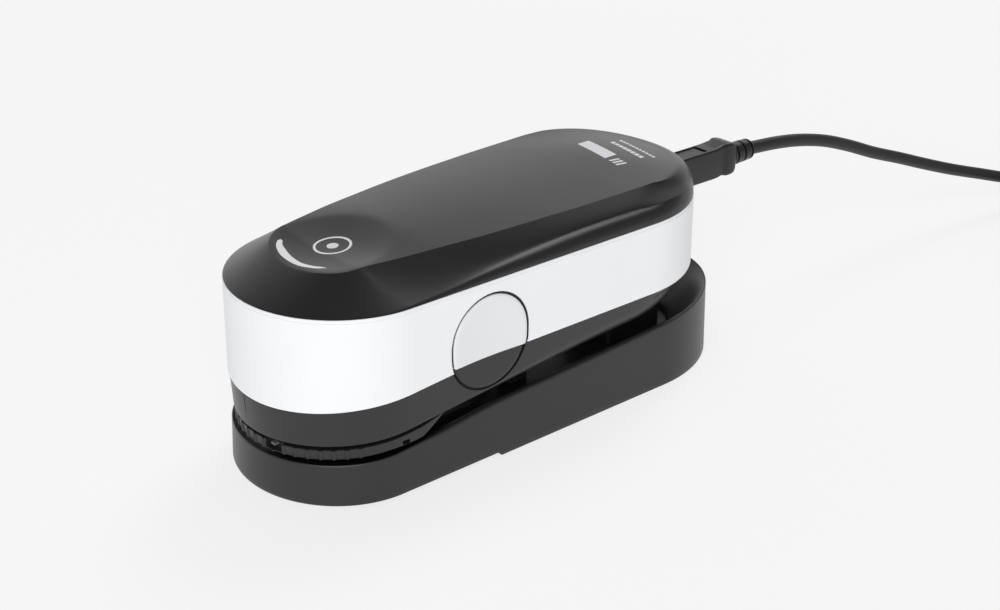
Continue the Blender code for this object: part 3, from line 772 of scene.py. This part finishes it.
def white_band(material):
    """The band, with a fine groove and lip along its top edge."""
    skin = Skin()
    wall = 1.7
    foot = 0.4  # how far up its lower edge stays rounded
    rings = [
        [(x, y, band_bottom(y) + lift) for x, y in body_outline(inset, BAND_DRAFT)]
        for inset, lift in ((wall, 0.0), (0.35, 0.0), (0.1, 0.1), (0.0, foot))
    ]

    def level(t):
        return lambda y: band_bottom(y) + foot + (LIP_PROFILE[0][1] - band_bottom(y) - foot) * t

    for k in range(1, 12):
        rings.append(raised(body_outline(0.0, BAND_DRAFT * (1 - k / 12)), level(k / 12)))
    rings += [raised(body_outline(inset), z) for inset, z in LIP_PROFILE]
    rings.append(raised(body_outline(wall), BAND_TOP))
    skin.sleeve(rings)
    band = skin.build("white_side_band", [material])
    cut_away(band, [button_cutter(1), button_cutter(-1), socket_cutter()])
    return show(band, "instrument", "white_plastic", "side_band")


def under_reach(y):
    """How far in the housing's lower edge rounds under, which grows to the tail."""
    return 1.2 + 5.0 * smooth_step(y, -50.0, 50.0)


def edge_start(y):
    """How far down the housing's wall the rounding starts, as a share of its height."""
    return 0.93 - 0.68 * smooth_step(y, -50.0, 50.0)


def housing_ring(inset, depth, under=0.0, lift=0.0):
    """A ring of the housing at a share of its wall's height; under takes it on round the lower edge."""

    def level(y):
        start = edge_start(y)
        share = depth * start + (1 - start) * math.sin(math.pi / 2 * under)
        top = band_bottom(y) - 0.25
        return top + (follow(HOUSING_LINE, y) + lift - top) * share

    turned = 1 - math.cos(math.pi / 2 * under)
    edge = 0.9 + inset
    flat = outline(
        lambda y: HALF_WIDTH - edge - 0.4 * depth - turned * under_reach(y),
        NOSE - HOUSING_REACH + edge + 0.4 * depth + turned * under_reach(NOSE),
        TAIL - edge - 5.5 * (0.9 * depth + 0.1 * under) ** 1.7 - turned * under_reach(TAIL),
        NOSE_CAP + HOUSING_REACH - edge,
        TAIL_CAP - edge,
    )
    return raised(flat, level)


def lower_shell(material):
    """The dark lower housing, whose floor rises to the tail like a hull."""
    skin = Skin()
    rings = [housing_ring(0.0, k / 12) for k in range(13)]
    rings += [housing_ring(0.0, 1.0, k / 8) for k in range(1, 9)]
    outside = skin.loft(rings)
    inner = ((0.0, 0.0), (0.6, 0.0), (1.0, 0.1), (1.0, 1.0))
    inside = skin.loft([housing_ring(2.0, depth, under, 2.0) for depth, under in inner])
    skin.bridge(outside[0], inside[0])
    mirror_grid(skin, outside[-1], lambda x, y: follow(HOUSING_LINE, y), 10)
    mirror_grid(skin, inside[-1], lambda x, y: follow(HOUSING_LINE, y) + 2.0, 6)
    shell = skin.build("lower_shell", [material])
    cutters = [button_cutter(1), button_cutter(-1)]
    cutters.append(slab("optics_cutter", circle(0, APERTURE_Y, 8.0), 15.0, 30.0))
    for k, (x, y) in enumerate([(x, y) for y in (-28.0, 46.0) for x in (24.0, -24.0)]):
        cutters.append(slab(f"screw_cutter_{k}", circle(x, y, 3.0, 24), 15.0, 40.0))
    line = rounded_box(-1.25, -0.9, NOSE - 4.0, NOSE - 0.25, 0.1)
    cutters.append(slab("parting_line", line, 15.0, 31.0))
    cut_away(shell, cutters)
    return show(shell, "instrument", "dark_plastic", "lower_housing")


# How far each ring of a disc grows from the button's outline, and how far out it stands from the side.
UPPER_CAP = (
    (0.0, -3.5), (0.0, -0.6), (-0.12, -0.3), (-0.4, -0.16),
    (-1.0, -0.12), (-2.5, -0.2), (-5.5, -0.42), (-9.5, -0.6),
)
LOWER_CAP = (
    (0.0, -3.5), (0.0, -1.5), (-0.1, -1.3), (-0.3, -1.2),
    (-1.2, -1.17), (-3.0, -1.17), (-6.0, -1.2), (-9.5, -1.22),
)


def side_button(side, word, white, dark):
    """A disc with a soft edge, in two parts: a dished white one and a dark one flush with the housing."""
    for part, slot, material, levels in (
        ("upper", "white_plastic", white, UPPER_CAP),
        ("lower", "dark_plastic", dark, LOWER_CAP),
    ):
        skin = Skin()
        skin.solid([
            [(side * (HALF_WIDTH + out), y, z) for y, z in button_outline(grow)]
            for grow, out in levels
        ])
        button = skin.build(f"button_{word}_{part}_cap", [material])
        keep_one_side(button, BUTTON_SPLIT_Z, 1 if part == "upper" else -1)
        show(button, f"button_{word}", slot, f"button_{word}_{part}")


def button_gap_shade(side, word, material):
    """Painted shade: a near-black sleeve a little under the surface in the gap round a button, so the gap
    looks deep and dark.
    """
    skin = Skin()
    rings = []
    for grow, deep in ((0.8, 3.0), (0.8, 0.0), (0.1, 0.0), (0.1, 3.0)):
        ring = []
        for y, z in button_outline(grow):
            sunk = 0.5 if z > BUTTON_SPLIT_Z else 1.9
            ring.append((side * (HALF_WIDTH - sunk - deep), y, z))
        rings.append(ring)
    skin.sleeve(rings)
    # the sleeve is painted shade, not a part; its rubber slot is only a label
    return show(skin.build(f"button_{word}_gap_shade_sheet", [material]), "instrument", "rubber")


def keep_one_side(obj, height, sign):
    """Keeps what is above the height, or below it for a sign of -1, and closes the cut."""
    shape = bmesh.new()
    shape.from_mesh(obj.data)
    cut = bmesh.ops.bisect_plane(
        shape,
        geom=shape.verts[:] + shape.edges[:] + shape.faces[:],
        plane_co=place(0.0, 0.0, height + sign * 0.04),
        plane_no=(0.0, 0.0, sign),
        clear_inner=True,
    )
    edges = [e for e in cut["geom_cut"] if isinstance(e, bmesh.types.BMEdge)]
    bmesh.ops.edgeloop_fill(shape, edges=edges)
    bmesh.ops.recalc_face_normals(shape, faces=shape.faces)
    shape.to_mesh(obj.data)
    shape.free()
    smooth(obj.data)


# ---- the ribbed strip under the nose ----


STRIP_RADIUS = 32.0  # of its line round the nose
STRIP_ARC_Y = -48.35  # where the round part starts
STRIP_END_Y = -36.2
STRIP_QUARTER = STRIP_RADIUS * math.pi / 2
STRIP_HALF_LENGTH = STRIP_QUARTER + STRIP_END_Y - STRIP_ARC_Y
RIB_PITCH = 3.75
FIRST_RIB = -36.0
RIBS = 20


def strip_place(along, inset):
    """A point on the strip's line, so far along from the nose's tip and so far in from its face."""
    if abs(along) < STRIP_QUARTER:
        turn = along / STRIP_RADIUS
        radius = STRIP_RADIUS - inset
        return radius * math.sin(turn), STRIP_ARC_Y - radius * math.cos(turn)
    side = math.copysign(1, along)
    return side * (STRIP_RADIUS - inset), STRIP_ARC_Y + abs(along) - STRIP_QUARTER


def strip_stations():
    """(distance along, how far a rib stands out) from end to end."""
    stations = {}
    for k in range(RIBS):
        rib = FIRST_RIB + k * RIB_PITCH
        for step, out in ((-0.8, 0.0), (-0.45, 0.3), (0.0, 0.42), (0.45, 0.3), (0.8, 0.0)):
            stations[rib + step] = out
    for k in range(-48, 49):
        along = STRIP_HALF_LENGTH * k / 48
        if all(abs(along - s) > 0.35 for s in stations):
            stations[along] = 0.0
    return sorted(stations.items())


def ribbed_strip(material):
    """The strip that lines the nose under the housing, with fine upright ribs, swept up at both ends."""
    skin = Skin()
    rings = []
    for along, out in strip_stations():
        end = max(abs(along) - STRIP_HALF_LENGTH + 8.0, 0.0) / 8.0
        face = 0.9 * end**2 - out
        x, y = strip_place(along, 0.0)
        under = follow(HOUSING_LINE, y)
        top = under - 1.0 + 0.8 * end
        low = under - 4.0 - 0.5 * smooth_step(y, -56.0, -44.0) + 3.7 * end
        front = ((face, top - 0.15), (face, low + 0.2), (face + 0.2, low))
        profile = (*front, (6.0, low), (6.0, top), (face + 0.15, top))
        rings.append([(*strip_place(along, inset), z) for inset, z in profile])
    skin.solid(rings)
    strip = skin.build("ribbed_strip", [material], 30.0)
    window = slab("window_cutter", rounded_box(6.3, 12.2, NOSE - 4.0, NOSE + 3.5, 0.3), 15.9, 22.0)
    notch = slab("notch_cutter", rounded_box(30.0, 36.0, -51.0, -48.6, 0.2), 17.1, 18.4)
    cut_away(strip, [window, notch], smooth_angle=30.0)
    return show(strip, "instrument", "dark_plastic", "nose_strip")


def latch(material):
    """The small sloped catch in the strip's window."""
    skin = Skin()
    top = NOSE + 1.7
    rings = skin.loft(
        [
            [(8.2, top, z) for z in (17.4, 18.15)],
            [(10.0, top, z) for z in (17.6, 18.15)],
            [(10.0, NOSE + 3.2, z) for z in (17.6, 18.15)],
            [(8.2, NOSE + 3.2, z) for z in (17.4, 18.15)],
        ],
        closed=False,
    )
    skin.bridge(rings[-1], rings[0], closed=False)
    skin.face([ring[0] for ring in rings])
    skin.face([ring[1] for ring in rings])
    return show(skin.build("nose_catch", [material]), "instrument", "dark_plastic", "nose_latch")


# ---- the base ----


def base_line(y):
    """The tray's lower edge, higher ahead of a small step."""
    return 1.8 if y < -16.0 else 0.5


# How far in from the base's outline; how far below its rim at both ends and at the middle; and then how much
# of the way down to the floor.
LEDGE_PROFILE = (
    (0.62, 0.35, 1.2, 0.0),
    (0.72, 0.1, 0.7, 0.0),
    (0.85, 0.0, 0.42, 0.0),
    (1.05, 0.03, 0.22, 0.0),
    (1.5, 0.35, 0.04, 0.0),
    (1.9, 0.7, 0.0, 0.0),
    (2.3, 1.1, 0.12, 0.0),
    (2.8, 1.5, 0.45, 0.0),
    (5.0, 0.6, 0.2, 0.27),
    (8.0, 0.2, 0.0, 0.55),
    (10.5, 0.0, 0.0, 0.76),
    (12.2, 0.0, 0.0, 0.87),
    (12.7, 0.0, 0.0, 0.93),
)


def tray(material):
    """The base's shell: outer wall, rounded rim, and a slope down to its floor."""
    skin = Skin()

    def middle(y):
        return smooth_step(y, -52.0, -34.0) * (1 - smooth_step(y, 40.0, 70.0))

    def ledge(ends, mid, share):
        return lambda y: follow(RIM_LINE, y) - (
            ends + (mid - ends) * middle(y) + (follow(RIM_LINE, y) - 8.8) * share
        )

    def wall(t):
        def height(y):
            low = base_line(y) + 0.5
            return low + (follow(RIM_LINE, y) - 0.9 - 0.8 * middle(y) - low) * t

        return height

    rings = [
        raised(base_outline(3.0), 6.3),
        raised(base_outline(3.0), base_line),
        raised(base_outline(0.5), base_line),
        raised(base_outline(0.12), lambda y: base_line(y) + 0.15),
    ]
    for k in range(11):
        rings.append(raised(base_outline(0.6 * k / 10), wall(k / 10)))
    for inset, ends, mid, share in LEDGE_PROFILE:
        rings.append(raised(base_outline(inset), ledge(ends, mid, share)))
    rings.append(raised(base_outline(13.0), 8.3))
    made = skin.loft(rings)

    mirror_grid(skin, made[-1], lambda x, y: 8.3, 6)
    mirror_grid(skin, made[0], lambda x, y: 6.3, 6)
    shell = skin.build("base_shell", [material])
    cut_away(shell, [slab("tile_cutter", circle(0, APERTURE_Y, 11.8), 3.0, 12.0)])
    return show(shell, "base", "base_plastic", "base_tray")


# ---- the lead ----

COIL_X = 49.8
COIL_Y = 281.5
COIL_TOP_Z = 7.95
COIL_LOW_Z = 3.25
FAR_PLUG_X = 81.5
FAR_PLUG_Z = 4.0
LEAD_ROUTE = (
    (0.0, 121.8, 55.6), (0.0, 137.0, 54.3), (0.0, 150.0, 52.3), (0.2, 163.5, 49.0),
    (0.6, 177.7, 44.0), (1.5, 192.2, 38.1), (2.8, 206.9, 32.9), (4.6, 221.8, 27.4),
    (6.9, 237.1, 22.1), (9.8, 252.5, 17.4), (14.0, 270.8, 12.1),
)
TAIL_ROUTE = (
    (FAR_PLUG_X, 262.4, 2.5),
    (FAR_PLUG_X, 258.0, 2.7),
    (FAR_PLUG_X, 254.0, 3.5),
    (FAR_PLUG_X, 250.2, 4.0),
)


def coil_turns():
    """The spare length: inward in an upper layer, then outward in a lower one, clockwise from above."""
    top_turns, low_turns = 2.1, 2.344
    start, outer, inner, last = 160.0, 30.6, 20.8, 31.7
    steps = 48
    points = []
    count = round(top_turns * steps)
    for k in range(count):
        t = k / count
        turn = math.radians(start - 360 * top_turns * t)
        radius = outer + (inner - outer) * t
        points.append((COIL_X + radius * math.cos(turn), COIL_Y + radius * math.sin(turn), COIL_TOP_Z))
    count = round(low_turns * steps)
    for k in range(count + 1):
        t = k / count
        turn = math.radians(start - 360 * (top_turns + low_turns * t))
        radius = inner + (last - inner) * t
        sink = smooth_step(t, 0.0, 0.11)
        z = COIL_TOP_Z + (COIL_LOW_Z - COIL_TOP_Z) * sink
        points.append((COIL_X + radius * math.cos(turn), COIL_Y + radius * math.sin(turn), z))
    return points


def smooth_path(route, spacing):
    """Points about spacing apart on the Catmull-Rom curve through a route."""
    knots = np.array([2 * np.array(route[0]) - route[1], *route, 2 * np.array(route[-1]) - route[-2]])
    points = []
    for k in range(1, len(knots) - 2):
        before, start, end, after = knots[k - 1 : k + 3]
        steps = max(1, round(float(np.linalg.norm(end - start)) / spacing))
        for step in range(steps):
            t = step / steps
            points.append(
                0.5
                * (
                    2 * start
                    + (end - before) * t
                    + (2 * before - 5 * start + 4 * end - after) * t**2
                    + (3 * start - before - 3 * end + after) * t**3
                )
            )
    points.append(knots[-2])
    return points


def tube_mesh(name, path, radius, material, sides=16):
    """A round tube along a path, with flat ends."""
    path = [np.array(p, float) for p in path]
    skin = Skin()
    side = np.array((1.0, 0.0, 0.0))
    rings = []
    for k, point in enumerate(path):
        ahead = path[min(k + 1, len(path) - 1)] - path[max(k - 1, 0)]
        ahead /= np.linalg.norm(ahead)
        side = side - ahead * float(side @ ahead)
        side /= np.linalg.norm(side)
        up = np.cross(ahead, side)
        turns = [2 * math.pi * n / sides for n in range(sides)]
        rings.append([tuple(point + radius * (math.cos(t) * side + math.sin(t) * up)) for t in turns])
    skin.solid(rings)
    return skin.build(name, [material], 40.0)


def lead(material):
    route = [*LEAD_ROUTE, *coil_turns(), *TAIL_ROUTE]
    path = smooth_path(route, 3.2)
    cable = tube_mesh("lead_cable_whole", path, CABLE_DIAMETER / 2, material)
    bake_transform(cable)
    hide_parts("lead_cable", "lead_coil", "lead_end")
    places = [place(*p) for p in path]
    length = sum(math.dist(a, b) for a, b in zip(places[:-1], places[1:]))
    print("cable length, m:", round(length, 4))
    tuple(places[0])


# ---- the plugs ----


def along_y(name, sections, centre, material, smooth_angle=35.0):
    """A rounded-box loft; a section is (y, half width, lowest, highest, corner radius) about (x, z)."""
    skin = Skin()
    rings = []
    for y, half, low, high, radius in sections:
        flat = rounded_box(-half, half, low, high, radius, 5)
        rings.append([(centre[0] + x, y, centre[1] + z) for x, z in flat])
    skin.solid(rings)
    return skin.build(name, [material], smooth_angle)


def near_plug(material):
    """The overmould: a block with a sunk panel and a grip ridge on top, a waist, and a collar."""
    centre = (0.0, LEAD_Z)
    sections = (
        (79.9, 3.7, -5.1, 5.1, 0.7),
        (80.2, 4.0, -5.4, 5.4, 0.9),
        (101.5, 4.1, -5.4, 5.4, 0.9),
        (103.0, 4.05, -5.35, 5.5, 0.9),
        (104.5, 3.9, -5.2, 5.8, 1.0),
        (105.6, 3.85, -5.1, 5.9, 1.1),
        (106.6, 4.25, -5.3, 6.05, 1.1),
        (107.5, 4.5, -5.45, 6.2, 1.1),
        (109.2, 4.5, -5.45, 5.95, 1.1),
        (110.6, 4.4, -5.3, 5.55, 1.3),
        (111.4, 4.1, -5.0, 5.2, 1.6),
        (111.9, 3.7, -4.5, 4.7, 1.8),
    )
    body = along_y("plug_overmould", sections, centre, material, 28.0)
    top = LEAD_Z + 5.4
    cutters = [
        slab("panel_cutter", rounded_box(-2.9, 2.9, 78.0, 97.8, 0.4), top - 0.35, top + 3.0),
        slab("groove_cutter", rounded_box(-3.1, 3.1, 97.2, 98.3, 0.3), top - 0.8, top + 3.0),
        slab("dot_cutter", circle(0.0, 101.3, 0.5, 20), top, top + 3.0),
    ]
    cut_away(body, cutters, smooth_angle=28.0)
    return show(body, "instrument", "lead_rubber", "plug_body")


def grooved_relief(name, start, end, thick, thin, grooves, centre, material):
    """A round strain relief that tapers from start to end, with square grooves round it."""
    way = math.copysign(1, end - start)

    def radius(y):
        return thick + (thin - thick) * (y - start) / (end - start)

    sections = [(start, radius(start) - 0.4), (start + 0.3 * way, radius(start))]
    for k in range(grooves):
        y = start + (end - start) * (0.16 + 0.72 * k / (grooves - 1))
        for step, sunk in ((-0.42, 0.0), (-0.3, 0.75), (0.3, 0.75), (0.42, 0.0)):
            sections.append((y + step * way, radius(y) - sunk))
    sections += [(end - 0.5 * way, radius(end)), (end, radius(end) - 0.35)]
    skin = Skin()
    turns = [2 * math.pi * k / 32 for k in range(32)]
    skin.solid([
        [(centre[0] + r * math.cos(t), y, centre[1] + r * math.sin(t)) for t in turns]
        for y, r in sections
    ])
    return skin.build(name, [material], 30.0)


def far_plug(lead_material, steel, black):
    """The computer end: overmould with finger grips, and the folded metal shell round its contact tongue."""
    centre = (FAR_PLUG_X, FAR_PLUG_Z)
    sections = (
        (213.3, 7.3, -3.5, 3.5, 1.6),
        (213.9, 7.8, -3.9, 3.9, 2.0),
        (233.5, 7.7, -3.9, 3.9, 2.2),
        (236.0, 6.8, -3.8, 3.8, 2.4),
        (237.6, 5.2, -3.5, 3.5, 2.4),
        (238.1, 4.2, -3.1, 3.1, 2.4),
    )
    body = along_y("far_plug_overmould", sections, centre, lead_material)
    top = FAR_PLUG_Z + 3.9
    grips = []
    for k in range(4):
        y = 226.0 + 1.8 * k
        for side in (-1, 1):
            x = FAR_PLUG_X + side * 7.9
            flat = rounded_box(x - 0.6, x + 0.6, y, y + 0.8, 0.2)
            grips.append(slab(f"grip_cutter_{k}_{side}", flat, 1.4, 6.6))
    sunk = rounded_box(FAR_PLUG_X - 5.4, FAR_PLUG_X + 5.4, 215.6, 224.0, 1.0)
    grips.append(slab("far_panel_cutter", sunk, top - 0.3, top + 2.0))
    cut_away(body, grips)
    show(body, "base", "lead_rubber", "far_plug_body")
    skin = Skin()
    profile = ((201.3, 5.7, 1.95), (201.3, 6.0, 2.25), (213.2, 6.0, 2.25), (213.2, 5.7, 1.95))
    rings = []
    for y, half_x, half_z in profile:
        flat = rounded_box(-half_x, half_x, -half_z, half_z, 0.45)
        rings.append([(FAR_PLUG_X + x, y, FAR_PLUG_Z + z) for x, z in flat])
    skin.sleeve(rings)
    shell = skin.build("far_plug_shell_folded", [steel])
    windows = []
    for level, (low, high) in enumerate(((5.0, 8.0), (0.2, 3.0))):
        for side in (-1, 1):
            x = FAR_PLUG_X + side * 2.9
            flat = rounded_box(x - 1.25, x + 1.25, 206.5, 208.8, 0.15)
            windows.append(slab(f"shell_window_{level}_{side}", flat, low, high))
    cut_away(shell, windows)
    show(shell, "base", "steel", "far_plug_shell")
    tongue = ((202.0, 5.5, -1.8, 0.1, 0.2), (213.2, 5.5, -1.8, 0.1, 0.2))
    show(along_y("far_plug_contact_tongue", tongue, centre, black), "base", "black_plastic")


def plugs(materials):
    lead_material = materials["lead"]
    near_plug(materials["plug"])
    near = grooved_relief("plug_relief_ribbed", 111.8, 121.9, 4.0, 3.6, 3, (0.0, LEAD_Z), materials["plug"])
    show(near, "instrument", "lead_rubber", "plug_relief")
    far_centre = (FAR_PLUG_X, FAR_PLUG_Z)
    far = grooved_relief("far_relief_ribbed", 238.0, 250.3, 3.7, 2.9, 4, far_centre, lead_material)
    show(far, "base", "lead_rubber", "far_plug_relief")
    far_plug(lead_material, materials["steel"], materials["black"])


# ---- the pieces that keep their CAD shape ----

KEPT = {
    "base": ("bottom_plate", "cover_rail_right", "cover_rail_left", "tail_saddle", "tile_holder"),
    "rubber": ("rest_pad_right", "rest_pad_left", "coil_tie"),
    "tile": ("white_tile",),
    "dark": ("tile_cover", "button_right_plunger", "button_left_plunger"),
    "black": ("nose_flange", "measuring_foot", "optics_barrel", "optics_block", "inner_chassis"),
    "steel": ("aperture_ring", "sensor_module", "usb_socket", "switch_right", "switch_left", "plug_tongue"),
    "aluminium": ("grating_housing",),
    "glass": ("aperture_window",),
    "light": ("lamp_ring",),
    "board": ("main_board", "socket_board", "status_board"),
}


def dress_kept_nodes(materials):
    """Gives every CAD node that still shows its material and softened edges."""
    chosen = {node: kind for kind, names in KEPT.items() for node in names}
    for k in range(1, 5):
        chosen[f"base_screw_{k}"] = chosen[f"housing_screw_{k}"] = "steel"
        chosen[f"base_foot_{k}"] = "rubber"
    for name, kind in chosen.items():
        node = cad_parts[name]
        node.data.materials.clear()
        node.data.materials.append(materials[kind])
        bevel = node.modifiers.new("soft_edges", "BEVEL")
        bevel.width = 0.15 * MM
        bevel.segments = 2
        bevel.limit_method = "ANGLE"
        bevel.angle_limit = math.radians(40)


# ---- the studio ----


# Brightness by height, as a share of the strength.
SKY = ((0.0, 1.0), (0.25, 0.92), (0.45, 0.6), (0.65, 0.39), (1.0, 0.24))
WORLD_STRENGTH = 1.3
BRIGHT_SIDE = (-0.97, 0.25, 0.0)  # behind the object, as the camera sees it
DIM_SIDE = 0.32  # how bright the other side is, as a share
FLOOR_GLOW = 0.745
FLOOR_REACH = 6000.0


def studio_floor():
    nodes = Nodes("studio_floor")
    share = nodes.spread(nodes.noise(200.0), 0.0, 1.0)
    nodes.feed(nodes.mix(share, (0.25, 0.25, 0.25), (0.252, 0.252, 0.252)), "Base Color")
    white = (1.0, 1.0, 1.0, 1.0)
    nodes.set(Roughness=0.9, Specular_IOR_Level=0.0, Emission_Color=white, Emission_Strength=FLOOR_GLOW)
    skin = Skin()
    corners = ((-1, -1), (1, -1), (1, 1), (-1, 1))
    skin.face(skin.ring([(x * FLOOR_REACH, y * FLOOR_REACH, 0.0) for x, y in corners]))
    floor = skin.build("studio_floor", [nodes.material])


def studio_world():
    """A pale room: bright round the horizon and dimmer overhead."""
    world = bpy.data.worlds.new("studio")
    world.use_nodes = True
    bpy.context.scene.world = world
    tree = world.node_tree
    background = tree.nodes["Background"]
    coordinates = tree.nodes.new("ShaderNodeTexCoord")
    split = tree.nodes.new("ShaderNodeSeparateXYZ")
    tree.links.new(coordinates.outputs["Generated"], split.inputs[0])
    ramp = tree.nodes.new("ShaderNodeValToRGB")
    levels = ramp.color_ramp.elements
    while len(levels) < len(SKY):
        levels.new(0.5)
    for level, (height, bright) in zip(levels, SKY):
        level.position = height
        level.color = (bright, bright, bright, 1.0)
    tree.links.new(split.outputs["Z"], ramp.inputs["Fac"])
    facing = tree.nodes.new("ShaderNodeVectorMath")
    facing.operation = "DOT_PRODUCT"
    facing.inputs[1].default_value = BRIGHT_SIDE
    tree.links.new(coordinates.outputs["Generated"], facing.inputs[0])
    share = tree.nodes.new("ShaderNodeMapRange")
    share.interpolation_type = "SMOOTHSTEP"
    for name, number in (("From Min", 0.2), ("From Max", 0.95), ("To Min", DIM_SIDE), ("To Max", 1.0)):
        share.inputs[name].default_value = number
    tree.links.new(facing.outputs["Value"], share.inputs["Value"])
    level = tree.nodes.new("ShaderNodeVectorMath")
    level.operation = "SCALE"
    tree.links.new(ramp.outputs["Color"], level.inputs[0])
    tree.links.new(share.outputs[0], level.inputs["Scale"])
    tree.links.new(level.outputs[0], background.inputs["Color"])
    background.inputs["Strength"].default_value = WORLD_STRENGTH


def softbox(name, azimuth, elevation, distance, size, power):
    """A square lamp that faces the object; azimuth is where it stands, as the camera's is."""
    data = bpy.data.lights.new(name, "AREA")
    data.shape = "SQUARE"
    data.size = size
    data.energy = power
    turn, rise = math.radians(azimuth), math.radians(elevation)
    lamp = bpy.data.objects.new(name, data)
    lamp.location = (
        distance * math.sin(turn) * math.cos(rise),
        -distance * math.cos(turn) * math.cos(rise),
        distance * math.sin(rise),
    )
    lamp.rotation_euler = (math.pi / 2 - rise, 0.0, turn)
    bpy.context.collection.objects.link(lamp)


def studio():
    studio_floor()
    studio_world()
    softbox("front_light", 48.0, 25.0, 3.0, 2.2, 62.0)
    softbox("top_light", 203.6, 51.0, 3.0, 1.2, 23.0)
    bpy.context.scene.view_settings.view_transform = "Standard"


# ---- the whole ----


def main():
    make_camera()
    materials = make_materials()
    plugs(materials)
    lead(materials["lead"])
    top_cover(materials["shell"])
    status_light(materials["light"])
    nose_mark(materials["print"])
    tail_mark(materials["print"])
    white_band(materials["white"])
    lower_shell(materials["dark"])
    for side, word in ((1, "right"), (-1, "left")):
        side_button(side, word, materials["cap"], materials["dark"])
        # a near-black sleeve of painted shade in the gap round each button
        button_gap_shade(side, word, materials["painted_gap_shade"])
    ribbed_strip(materials["dark"])
    latch(materials["catch"])
    tray(materials["base"])
    dress_kept_nodes(materials)
    studio()


main()
